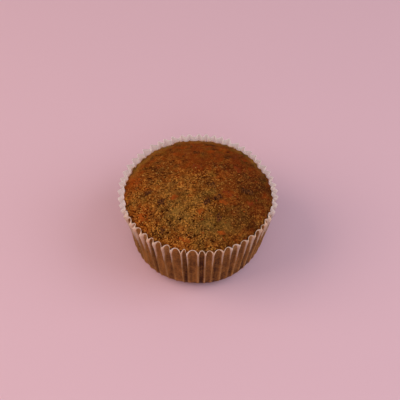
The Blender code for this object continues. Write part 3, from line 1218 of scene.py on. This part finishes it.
    def coarseness(self, points: Array) -> Array:
        """How grainy the crust is: less at the back, at the edge behind and to the right, where
        fewer pale grains also paint shade.

        Args:
            points: points of the crust.

        Returns:
            The product of the three shares, from 0 to 1.
        """
        x, y, out = self.shares(points)
        wander = Grain(self.calm[0], Pattern.CALM).smooth(points * (1, 1, 0)) * self.calm[1]
        back = smooth_step(*self.calm_back, y + 0.12 * x + wander)
        edge = smooth_step(*self.calm_edge, out) * smooth_step(-0.6, 0.1, y)
        edge = np.maximum(edge, smooth_step(0.2, -0.5, y))
        # fewer grains to the right, which also paints shade there
        right = smooth_step(*self.calm_and_shade_right, x) * (0.2 + 0.25 * smooth_step(0.3, -0.2, y))
        return (0.15 + 0.85 * back) * (0.35 + 0.65 * edge) * (1 - right)

    def browning_and_shade(self, points: Array) -> Array:
        """How browned the crust is, with painted shade at the back and right, darker towards the
        front, and painted light to the left.

        Args:
            points: points of the crust.

        Returns:
            The sum of the four sides' parts, from 0 to 1.5.
        """
        x, y, _ = self.shares(points)
        back = smooth_step(*self.brown_and_shade_back, y + 0.15 * x)
        right = smooth_step(*self.shade_right, x)
        front = smooth_step(*self.darker_front, y)
        left = smooth_step(*self.lit_left, x)
        # painted shade to the right and painted light to the left
        middle = 0.16 - 0.4 * left + 0.9 * right * (1 - 0.75 * back)
        return np.clip(middle + 0.5 * back + (0.25 + 0.45 * right) * front, 0, 1.5)

    def tints(self, points: Array) -> dict[str, Array]:
        """Masks of the crust's patches, each of which fades exponentially and raggedly. The pale one
        also takes the painted light along the edge at the back.

        Args:
            points: points of the crust.

        Returns:
            For each tint, its strength from 0 to 1.
        """
        ragged = 1 + 0.7 * Grain(self.ragged_patch, Pattern.PATCH).smooth(points)
        masks = {}
        for tint, patches in PATCHES.items():
            found = np.zeros(points.shape[:-1])
            for right, back, radius, strength in patches:
                away = np.hypot(points[..., 0] - right * self.edge, points[..., 1] - back * self.edge)
                found = np.maximum(found, strength * np.exp(-away / (radius * MM) * ragged))
            masks["tint_" + tint.value] = found
        _, y, out = self.shares(points)
        # painted light along the edge at the back, where it catches the light
        fringe = smooth_step(0.9, 1.01, out) * smooth_step(0.1, 0.5, y)
        pale = np.maximum(masks["tint_pale"], self.painted_edge_light * fringe * ragged)
        return masks | {"tint_pale": pale}

    def grain(self, points: Array, coarse: Array) -> tuple[Array, Array]:
        """Relief of the crumb: cobbles, finer grit on them, a swell, and pores.

        A cobble is one less the distance to its cell's seed, squared. A pore is a cell whose own
        number is small, and it is deepest at its seed.

        Args:
            points: points of the smooth crust.
            coarse: how grainy it is there.

        Returns:
            The relief in metres along the surface's normal, and how high each point is in it,
            from 0 in a pore to 1 on a grain.
        """
        warps = [Grain(self.warp[0], Pattern.WARP + axis).smooth(points) for axis in range(3)]
        bent = points + np.stack(warps, -1) * self.warp[1]
        cobble = 0.55 - Grain(self.cobble[0], Pattern.COBBLE).nearest(bent)[0] ** 2
        grit = 0.5 - Grain(self.grit[0], Pattern.GRIT).nearest(bent)[0] ** 2
        swell = Grain(self.swell[0], Pattern.SWELL).smooth(points)
        near, owner = Grain(self.pore[0], Pattern.PORE).nearest(bent)
        pore = smooth_step(*self.pore_reach, near) * smooth_step(*self.pore_share, owner)
        relief = self.cobble[1] * cobble + self.grit[1] * grit + self.swell[1] * swell
        height = 0.5 + 0.55 * cobble + 0.35 * grit + 0.25 * swell
        relief = relief * coarse - self.pore[1] * pore * coarse
        height = 0.5 + (height - 0.5) * (0.35 + 0.65 * coarse) - 0.9 * pore * coarse
        return relief, np.clip(height, 0, 1.3)

    def build(self) -> Piece:
        """Makes the crust: a grid over the dome, then rings down the side and in to the base.

        Returns:
            The piece.
        """
        reach, angle = self.disc()
        n = self.grid
        numbers = np.arange(n * n).reshape(n, n)
        sides = (numbers[0, :-1], numbers[:-1, -1], numbers[-1, :0:-1], numbers[:0:-1, 0])
        loop = np.concatenate(sides)
        side = self.sheet.sheet_radius - self.headroom - self.sheet.flat_radius
        steps = [self.arc * share for share in self.arc_rings]
        steps += [self.arc + side * share for share in self.side_rings]
        steps += [self.arc + side + self.sheet.flat_radius * self.base_ring]
        below = [np.full(len(loop), self.edge + step) for step in steps]
        path = np.concatenate([(self.edge * reach).ravel(), *below])
        around = np.concatenate([angle.ravel()] + [angle.ravel()[loop]] * len(steps))
        smooth = self.smooth_points(path, around)
        coarse = self.coarseness(smooth)
        relief, height = self.grain(smooth, coarse)
        lowest = self.edge + self.arc + side * self.grain_end
        shown = smooth_step(lowest, self.edge + self.arc, path)
        points = smooth + self.normals(path, around) * (relief * shown)[:, None]
        rings = [loop] + [n * n + len(loop) * k + np.arange(len(loop)) for k in range(len(steps))]
        faces = [grid_faces(n, n, closed=False)]
        faces += [ring_faces(low, high) for high, low in zip(rings, rings[1:])]
        faces.append(fan_faces(rings[-1][::-1], len(points)))
        points = np.vstack([points, [[0, 0, points[rings[-1][0], 2]]]])
        masks = {"height": height, "coarse": coarse, "browning_and_shade": self.browning_and_shade(smooth)}
        masks = {name: np.append(mask, 0) for name, mask in (masks | self.tints(smooth)).items()}
        piece = make_piece("crust", points, faces, masks, self.finish.material())
        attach(piece, BODY)
        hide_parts("cake")
        return piece


# --- what lies in the crust ---------------------------------------------------------------------


@dataclass
class Morsels:
    """Small things of one kind, half sunk in the crust, joined into one piece.

    Each is a bent tube with rounded ends. Its middle line is an arc that lies along the dome, its
    section is an ellipse, and smooth noise pushes its surface in and out. The arrays have one
    number for each thing.
    """

    name: str
    sponge: Sponge  # the cake that they lie in
    finish: ShredFinish | NutFinish | CrumbFinish
    x: Array
    y: Array
    direction: Array  # angles that their lengths run at
    length: Array
    width: Array
    thickness: Array
    bend: Array  # how far each turns over half of its length
    proud: Array  # how far the middle of each stands out of the crust
    droop: float = 0.0002  # how much deeper than the middle the ends lie
    rugged: float = 0.2  # how far the noise goes, as a share of the half width
    rugged_cell: float = 0.001
    blunt: float = 2.6  # 2 for round ends, and more for blunter ones
    cut: float = 0.94  # share of a quarter turn from the middle at which the last ring is
    browning_with_shade: tuple[float, float] = (-0.15, 0.2)  # where the painted shade at the back starts and ends, in dome radii
    shade_weight_right: float = 0.6  # how much places to the right count in that painted shade
    rows: int = 12  # rings of points along each
    columns: int = 10  # points in a ring

    def rings(self) -> Array:
        """Works out the rings of points.

        Returns:
            Points by thing, ring and place round the ring.
        """
        place = np.sin(np.linspace(-1, 1, self.rows) * math.pi / 2 * self.cut)
        taper = (1 - np.abs(place) ** self.blunt) ** (1 / self.blunt)
        bend = np.where(np.abs(self.bend) < 0.01, 0.01, self.bend)[:, None]
        start = self.direction[:, None]
        heading = start + bend * place
        half = self.length[:, None] / 2
        x = self.x[:, None] + half * (np.sin(heading) - np.sin(start)) / bend
        y = self.y[:, None] - half * (np.cos(heading) - np.cos(start)) / bend
        ground, up = self.sponge.stand(x, y)
        side = np.cross(up, np.gradient(ground, axis=1))
        side /= np.linalg.norm(side, axis=-1, keepdims=True)
        lift = (self.proud - self.thickness / 2)[:, None] - self.droop * place**2
        middle = (ground + up * lift[..., None])[:, :, None]
        turn = np.arange(self.columns) * 2 * math.pi / self.columns
        wide = (taper * self.width[:, None] / 2)[..., None] * np.cos(turn)
        high = (taper * self.thickness[:, None] / 2)[..., None] * np.sin(turn)
        out = side[:, :, None] * wide[..., None] + up[:, :, None] * high[..., None]
        noise = Grain(self.rugged_cell, Pattern.MORSEL).smooth(middle + out)
        return middle + out * (1 + self.rugged * 2 * noise)[..., None]

    def build(self) -> Piece:
        """Makes the piece, with a random tone for each thing, and painted shade on those behind and
        to the right.

        Returns:
            The piece.
        """
        rings = self.rings()
        points, faces = joined_tubes(rings)
        tone = np.random.default_rng(SEED + len(rings)).random(len(rings))
        place = (self.y + self.shade_weight_right * self.x) / self.sponge.edge
        # painted shade on those at the back and right
        back = smooth_step(*self.browning_with_shade, place)
        each = len(points) // len(rings)
        masks = {"tone": np.repeat(tone, each), "back": np.repeat(back, each)}
        piece = make_piece(self.name, points, faces, masks, self.finish.material())
        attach(piece, BODY)
        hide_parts("cake")
        return piece


@dataclass
class Filling:
    """The carrot, the nuts and the crumbs of the crust. A pair is a least and a most."""

    sponge: Sponge
    shred_width: float = 0.0025
    nut_width: float = 0.0026
    nut_thickness: float = 0.0013
    flecks: int = 46  # small bits of carrot between the shreds
    fleck_length: tuple[float, float] = (0.0009, 0.0026)
    fleck_width: tuple[float, float] = (0.0005, 0.0009)
    fleck_spread: float = 0.93  # share of the dome's radius that they are scattered over
    fleck_pull: float = 0.3  # how much further to the front they lie, as a share of the way out
    crumbs: int = 900  # before those that would lie where the crust is smooth are dropped
    crumb_size: tuple[float, float] = (0.0003, 0.0007)
    crumb_spread: float = 0.95

    def placed(self, kind: Kind) -> dict[str, Array]:
        """Places, directions and lengths of one kind of inclusion.

        Args:
            kind: which ones.

        Returns:
            Arrays by the names of their fields in Morsels.
        """
        right, back, direction, length = np.array(INCLUSIONS[kind]).T
        found = {"x": right * self.sponge.edge, "y": back * self.sponge.edge}
        return found | {"direction": np.radians(direction), "length": length * MM}

    def scattered(self, draw: np.random.Generator, count: int, share: float) -> tuple[Array, Array]:
        """Distances and angles of places spread evenly over this share of the dome's radius."""
        reach = self.sponge.edge * share * np.sqrt(draw.random(count))
        return reach, draw.uniform(0, 2 * math.pi, count)

    def shreds(self) -> Morsels:
        """The large shreds of carrot, with small flecks between them, most of them in front.

        Returns:
            The shreds.
        """
        draw = np.random.default_rng(Draw.SHREDS)
        large = self.placed(Kind.CARROT)
        reach, turn = self.scattered(draw, self.flecks, self.fleck_spread)
        small = {
            "x": reach * np.cos(turn),
            "y": reach * np.sin(turn) - self.fleck_pull * (self.sponge.edge - reach),
            "direction": draw.uniform(0, math.pi, self.flecks),
            "length": draw.uniform(*self.fleck_length, self.flecks),
        }
        both = {key: np.concatenate([large[key], small[key]]) for key in large}
        width = self.shred_width * draw.uniform(0.85, 1.15, len(large["x"]))
        width = np.concatenate([width, draw.uniform(*self.fleck_width, self.flecks)])
        return Morsels(
            "carrot_shreds",
            self.sponge,
            ShredFinish(),
            **both,
            width=width,
            thickness=width * 0.62,
            bend=draw.uniform(-0.6, 0.6, len(width)),
            proud=0.08 * MM + width * 0.1,
            rugged=0.45,
            rugged_cell=0.0007,
        )

    def nuts(self) -> Morsels:
        """The pieces of nut.

        Returns:
            The nuts.
        """
        draw = np.random.default_rng(Draw.NUTS)
        placed = self.placed(Kind.NUT)
        count = len(placed["x"])
        return Morsels(
            "walnut_pieces",
            self.sponge,
            NutFinish(),
            **placed,
            width=self.nut_width * draw.uniform(0.6, 1.0, count),
            thickness=np.full(count, self.nut_thickness),
            bend=draw.uniform(-0.3, 0.3, count),
            proud=draw.uniform(0.2, 0.5, count) * MM,
            rugged=0.8,
            rugged_cell=0.0008,
            rows=22,
            columns=20,
        )

    def loose(self) -> Morsels:
        """The crumbs, closer together in front.

        Returns:
            The crumbs.
        """
        draw = np.random.default_rng(Draw.CRUMBS)
        count = self.crumbs
        reach, turn = self.scattered(draw, count, self.crumb_spread)
        size = draw.uniform(*self.crumb_size, count)
        x, y = reach * np.cos(turn), reach * np.sin(turn)
        ground, _ = self.sponge.stand(x, y)
        kept = draw.random(count) < self.sponge.coarseness(ground) * 1.6 - 0.6
        numbers = {
            "x": x,
            "y": y,
            "direction": draw.uniform(0, math.pi, count),
            "length": size * draw.uniform(1, 1.5, count),
            "width": size,
            "thickness": size * 0.8,
            "bend": np.zeros(count),
            "proud": size * 0.35 + 0.1 * MM,
        }
        return Morsels(
            "crust_crumbs",
            self.sponge,
            CrumbFinish(),
            **{key: values[kept] for key, values in numbers.items()},
            droop=0.0,
            rugged=0.6,
            rugged_cell=0.0004,
            blunt=2.0,
            rows=4,
            columns=6,
        )


# --- the case -----------------------------------------------------------------------------------


@dataclass
class PaperCase:
    """The pleated case, as a thin closed shell round the folded sheet.

    Of a pair of distances below the rim, the second is where a change that starts at the first is
    complete.
    """

    sheet: FoldedSheet
    thickness: float = 0.00012  # the shell's, measured towards the axis
    per_pleat: int = 16  # columns of points in a pleat
    crowding: float = 0.65  # how much closer together they are at the ridges: 0 is evenly spread
    rim_band: float = 0.0024  # height of the rim's closer rows
    flare: float = 0.00035  # how far the outer folds lean out at the rim
    sway: float = 0.05  # how far a fold wanders sideways, in pleats
    waver: float = 0.00014  # how uneven the rim's height is
    waves: tuple[int, ...] = (9, 16, 23, 31, 41)  # numbers of crests of what wanders and wavers
    drift: float = 260.0  # the most that their phases turn, in radians for each metre of sheet
    bare_front: float = 0.00028  # bare paper at the rim where the cake comes up to it
    bare_back: float = 0.0026  # the same elsewhere
    faint_front: float = 0.07  # how much of a stain the palest paper in front has
    reach_rim: float = 0.0007  # gap that the stain crosses at the rim, faded to a third
    reach_foot: float = 0.0120  # the same lower down, where fat has crept through the paper
    creep_end: float = 0.006  # distance below the rim from which it is the same all the way down
    creep_back: float = 0.004  # how much further down that is elsewhere than in front
    ridge_line: float = 0.00042  # half the width of the pale line along a ridge, bare paper with a painted highlight
    ridge_clear: tuple[float, float] = (0.003, 0.016)  # where that line gets fainter
    ridge_clear_low: float = 0.38  # how pale it is at the foot
    ridge_clear_more: float = 0.17  # the most that chance adds on one ridge
    ridge_clear_high: float = 0.4  # what the rim adds
    crease_shade_place: float = 0.0009  # from a ridge to the darkest part of the painted shade in the crease beside it
    crease_shade_width: float = 0.0006  # half the width of that painted shade
    crease_shade_most: float = 0.45  # the most that the painted shade in one crease darkens the stain
    tip_width: float = 0.0007  # half the width of the bare tip at the top of a ridge
    tip_height: float = 0.0022  # how much more paper is bare there
    tip_clear: float = 0.8  # how much lighter the stain is there
    uneven: float = 0.35  # how much the bare paper's height varies, as a share of it
    edge_blur: tuple[float, float] = (0.8, 1.5)  # where the stain sets in, in those heights
    full_cling: float = 0.94  # share of the strongest stain that counts as full
    soaking: tuple[float, float] = (0.0, 0.009)  # where the stain gets darker
    rim_soak: float = 0.35  # share of its darkness that it has at the rim
    foot: tuple[float, float] = (0.018, 0.034)  # where it gets darker once more
    foot_darkening: float = 0.15  # by how much
    slack_end: float = 0.013  # distance below the rim at which the loosest pleats touch the cake
    most_slack: float = 0.5  # how much less than the others those are stained at the rim
    other_levels: tuple[float, float] = (0.15, 0.7)  # least and most of the stain's darkness
    front_levels: tuple[float, ...] = (  # the darkness on each pleat in front
        *(0.1, 0.35, 0.7, 0.3, 0.45, 0.35, 0.7, 0.25, 0.75),
        *(0.5, 0.55, 0.4, 0.65, 0.5, 0.6, 0.5, 0.5, 0.55),
    )
    finish: PaperFinish = PaperFinish()

    def ripple(self, pleat: Array, along: Array, seed: int) -> Array:
        """Irregular waves round the cup, of about -1 to 1.

        Sine waves with whole numbers of crests, so that they close, whose phases drift along the
        sheet.

        Args:
            pleat: place around.
            along: distance along the sheet.
            seed: number of the pattern.

        Returns:
            The waves' mean, scaled up.
        """
        draw = random.Random(seed)
        total = np.zeros(np.broadcast(pleat, along).shape)
        for crests in self.waves:
            phase = draw.uniform(0, 2 * math.pi)
            drift = draw.uniform(-self.drift, self.drift)
            total += np.sin(2 * math.pi * crests * pleat / self.sheet.pleats + phase + drift * along)
        return total / 2.6

    def face(self, along: Array, pleat: Array) -> Array:
        """The paper's outer face.

        Args:
            along: distance along the sheet.
            pleat: place around.

        Returns:
            The points.
        """
        sheet = self.sheet
        index = sheet.index_of(pleat)
        depth = sheet.pleat_depth(along) * sheet.depths[index]
        free = sheet.near_rim(along)
        inward = sheet.inward(along, pleat)
        radius, height = sheet.outer_fold(along)
        radius = radius - depth * inward + self.flare * free**2 * (1 - inward)
        height = height + sheet.fold_rise * depth * inward
        height = height + self.waver * free * self.ripple(pleat, along * 0, Draw.RIM)
        side = smooth_step(sheet.flat_radius, sheet.sheet_radius, along)
        swayed = pleat + self.sway * side * self.ripple(pleat, along, Draw.SWAY)
        return sheet.around(radius, sheet.angle_at(np.mod(swayed, sheet.pleats)), height)

    def rows(self) -> Array:
        """Places of the rows of points, closer together at the turn and at the rim.

        Returns:
            Distances along the sheet, from the middle to the rim.
        """
        sheet = self.sheet
        start = sheet.flat_radius
        turn_end = start + sheet.corner_radius * (math.pi / 2 - sheet.wall_tilt)
        base = start * np.array([0.02, 0.35, 0.7, 0.9])
        turn = np.linspace(start, turn_end, 13)
        wall = np.linspace(turn_end, sheet.sheet_radius - self.rim_band, 22)[1:]
        rim = sheet.sheet_radius - np.array([1.8, 1.3, 0.9, 0.6, 0.4, 0.2, 0.1, 0]) * MM
        return np.concatenate([base, turn, wall, rim])

    def build(self) -> Piece:
        """Makes the case: its two faces, the rim between them, and a fan over each base's middle.

        Returns:
            The piece.
        """
        sheet = self.sheet
        rows = self.rows()
        columns = sheet.pleats * self.per_pleat
        place = np.arange(self.per_pleat) / self.per_pleat
        eased = (1 - np.cos(math.pi * place)) / 2
        place = (1 - self.crowding) * place + self.crowding * eased
        pleat = (np.arange(sheet.pleats)[:, None] + place).ravel()
        along, around = np.meshgrid(rows, pleat, indexing="ij")
        outer = self.face(along, around)
        turn = sheet.turn_at(along)
        distance = np.hypot(outer[..., 0], outer[..., 1])[..., None]
        inner = outer.copy()
        inner[..., :2] *= 1 - (self.thickness * np.sin(turn))[..., None] / distance
        inner[..., 2] += self.thickness * np.cos(turn)
        middles = [[0, 0, 0], [0, 0, self.thickness]]
        points = np.vstack([outer.reshape(-1, 3), inner.reshape(-1, 3), middles])
        count = len(rows) * columns
        hole = np.arange(columns)
        rim = hole + count - columns
        faces = [
            grid_faces(len(rows), columns, closed=True),
            grid_faces(len(rows), columns, closed=True, first=count)[:, ::-1],
            ring_faces(rim, rim + count),
            fan_faces(hole[::-1], 2 * count),
            fan_faces(hole + count, 2 * count + 1),
        ]
        cling, paper_darkness = self.stains(along, around)
        masks = {
            "cling": np.concatenate([cling.ravel(), cling.ravel(), [1, 1]]),
            "paper_darkness": np.concatenate([paper_darkness.ravel(), paper_darkness.ravel(), [0.5, 0.5]]),
        }
        piece = make_piece("pleated_case", points, faces, masks, self.finish.material())
        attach(piece, BODY)
        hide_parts("paper_case")
        return piece

    def stains(self, along: Array, pleat: Array) -> tuple[Array, Array]:
        """How much the cake stains the paper: fully where they touch, and less across a gap.

        The stain falls with the square of the gap over its reach, as a bell curve, and ends below
        the rim. Each pleat has its own depth of stain.

        Args:
            along: distance along the sheet.
            pleat: place around.

        Returns:
            How much of the paper's own colour is gone, and how dark the stain is with the painted
            shade in the creases, from 0 to 1.
        """
        sheet = self.sheet
        draw = np.random.default_rng(Draw.STAINS)
        levels = draw.uniform(*self.other_levels, sheet.pleats)
        first = sheet.first_in_front
        levels[first : first + len(self.front_levels)] = self.front_levels
        loose = draw.uniform(0.0, 1.0, sheet.pleats) ** 1.5 * self.most_slack
        crease_shades = draw.uniform(0.0, self.crease_shade_most, (2, sheet.pleats))
        ridge_draw = draw.uniform(0.0, 1.0, sheet.pleats)
        index = sheet.index_of(pleat)
        below = sheet.sheet_radius - along
        share = np.mod(pleat, 1)
        behind = sheet.behind(pleat)
        gap = (1 - sheet.inward(along, pleat)) * sheet.pleat_depth(along)
        creep = smooth_step(0.0, self.creep_end, below - self.creep_back * behind)
        touch = bell(gap, self.reach_rim * (1 - creep) + self.reach_foot * creep)
        width = 2 * math.pi * sheet.outer_fold(along)[0] / sheet.pleats
        off = np.minimum(share, 1 - share) * width
        tip = bell(off, self.tip_width)
        bare = self.bare_front + self.tip_height * tip
        bare = bare + (self.bare_back - bare) * behind
        bare = bare * (1 + self.uneven * self.ripple(pleat, along, Draw.STAIN_EDGE))
        edge = smooth_step(*self.edge_blur, below / bare)
        nearest = np.round(pleat).astype(int) % sheet.pleats
        # pale line along each ridge: bare paper, with a painted highlight
        ridge_clear = self.ridge_clear_low + self.ridge_clear_more * ridge_draw[nearest]
        ridge_clear = ridge_clear + self.ridge_clear_high * (1 - smooth_step(*self.ridge_clear, below))
        ridge = bell(off, self.ridge_line)
        soaked = self.rim_soak + (1 - self.rim_soak) * smooth_step(*self.soaking, below)
        paper_darkness = levels[index] * soaked + self.foot_darkening * smooth_step(*self.foot, below)
        slack = loose[index] * (1 - smooth_step(0.0, self.slack_end, below))
        cling = touch * edge * (1 - ridge_clear * ridge) * (1 - slack)
        # painted shade in the crease beside each ridge, on one side or the other
        pressed = crease_shades[np.where(share < 0.5, 0, 1), index]
        crease_shade = pressed * bell(off - self.crease_shade_place, self.crease_shade_width)
        stain = smooth_step(0, self.full_cling, cling)
        stain = np.maximum(stain, self.faint_front * (1 - behind))
        return stain, (paper_darkness + crease_shade) * (1 - self.tip_clear * tip)


# --- the studio ---------------------------------------------------------------------------------


def aim(data: Any, target: Vector, bearing: float, elevation: float, distance: float) -> Piece:
    """Puts a light or a camera in the scene, looking at a target.

    Args:
        data: the lamp or the lens, whose name it takes.
        target: what it looks at.
        bearing: degrees to the right of the front, as seen from the target.
        elevation: degrees above the floor.
        distance: how far from the target it is.

    Returns:
        The light or the camera.
    """
    eye = bpy.data.objects.new(data.name, data)
    side, rise = math.radians(bearing), math.radians(elevation)
    level = math.cos(rise)
    away = Vector((math.sin(side) * level, -math.cos(side) * level, math.sin(rise)))
    eye.location = target + away * distance
    eye.rotation_euler = away.to_track_quat("Z", "Y").to_euler()
    bpy.context.scene.collection.objects.link(eye)
    return eye


@dataclass(frozen=True)
class Softbox:
    """A square soft light that looks at the cupcake."""

    name: str
    bearing: float  # degrees to the right of the camera, as seen from the cupcake
    power: float  # in watts
    colour: tuple[float, float, float]
    elevation: float = 42  # degrees above the floor
    distance: float = 0.9
    width: float = 0.7  # of its edge

    def build(self, target: Vector) -> None:
        """Makes the light.

        Args:
            target: what it looks at.
        """
        lamp = bpy.data.lights.new(self.name, "AREA")
        lamp.energy = self.power
        lamp.color = self.colour
        lamp.size = self.width
        aim(lamp, target, self.bearing, self.elevation, self.distance)


@dataclass
class Studio:
    """Plain pale floor, three softboxes, even fill light and the camera."""

    target: tuple[float, float, float] = (0, 0, 0.015)  # what the camera and the lights look at
    camera_elevation: float = 51.4  # degrees above the floor
    camera_distance: float = 0.42  # from the target
    lens: float = 89.0  # focal length in millimetres
    sensor_width: float = 36.0  # in millimetres
    shift: tuple[float, float] = (0.006, 0.043)  # of the view right and up, in widths of it
    floor_width: float = 4.0
    fill: tuple[float, float, float] = (0.93, 0.86, 0.9)
    fill_strength: float = 0.32
    softboxes: tuple[Softbox, ...] = (
        Softbox("warm_softbox", -82, 4.4, (1.0, 0.82, 0.68)),
        Softbox("cool_softbox", 80, 3.3, (0.8, 0.9, 1.0)),
        Softbox("front_softbox", 5, 1.75, (0.94, 0.94, 1.0), elevation=48),
    )
    finish: FloorFinish = FloorFinish()

    def build(self) -> None:
        """Makes the floor, the lights and the camera."""
        self.floor()
        for softbox in self.softboxes:
            softbox.build(Vector(self.target))
        self.sky()
        self.camera()

    def floor(self) -> None:
        """Makes the floor."""
        half = self.floor_width / 2
        corners = np.array([(-half, -half, 0), (half, -half, 0), (half, half, 0), (-half, half, 0)])
        faces = [np.array([[0, 1, 2, 3]])]
        board = make_piece("floor", corners, faces, {}, self.finish.material())

    def sky(self) -> None:
        """Lights the scene evenly from all round."""
        world = bpy.data.worlds.new("fill_light")
        world.use_nodes = True
        background = world.node_tree.nodes["Background"]
        background.inputs["Color"].default_value = (*self.fill, 1)
        background.inputs["Strength"].default_value = self.fill_strength
        bpy.context.scene.world = world

    def camera(self) -> None:
        """Makes the camera, right in front."""
        lens = bpy.data.cameras.new("camera")
        lens.lens = self.lens
        lens.sensor_width = self.sensor_width
        lens.shift_x, lens.shift_y = self.shift
        lens.clip_start = 0.01
        scene = bpy.context.scene
        scene.camera = aim(
            lens, Vector(self.target), 0, self.camera_elevation, self.camera_distance
        )
        scene.view_settings.view_transform = "Standard"


def report(piece: Piece) -> None:
    """Logs a piece's name and size."""
    sides = ", ".join(f"{side / MM:.1f}" for side in piece.dimensions)
    log.info("%s: %d points, %s mm", piece.name, len(piece.data.vertices), sides)


def main() -> None:
    """Builds the cupcake's pieces and the studio."""
    logging.basicConfig(level=logging.INFO, format="%(message)s")
    sheet = FoldedSheet()
    sponge = Sponge(sheet)
    report(sponge.build())
    filling = Filling(sponge)
    for morsels in (filling.shreds(), filling.nuts(), filling.loose()):
        report(morsels.build())
    report(PaperCase(sheet).build())
    Studio().build()


if __name__ == "__main__":
    main()
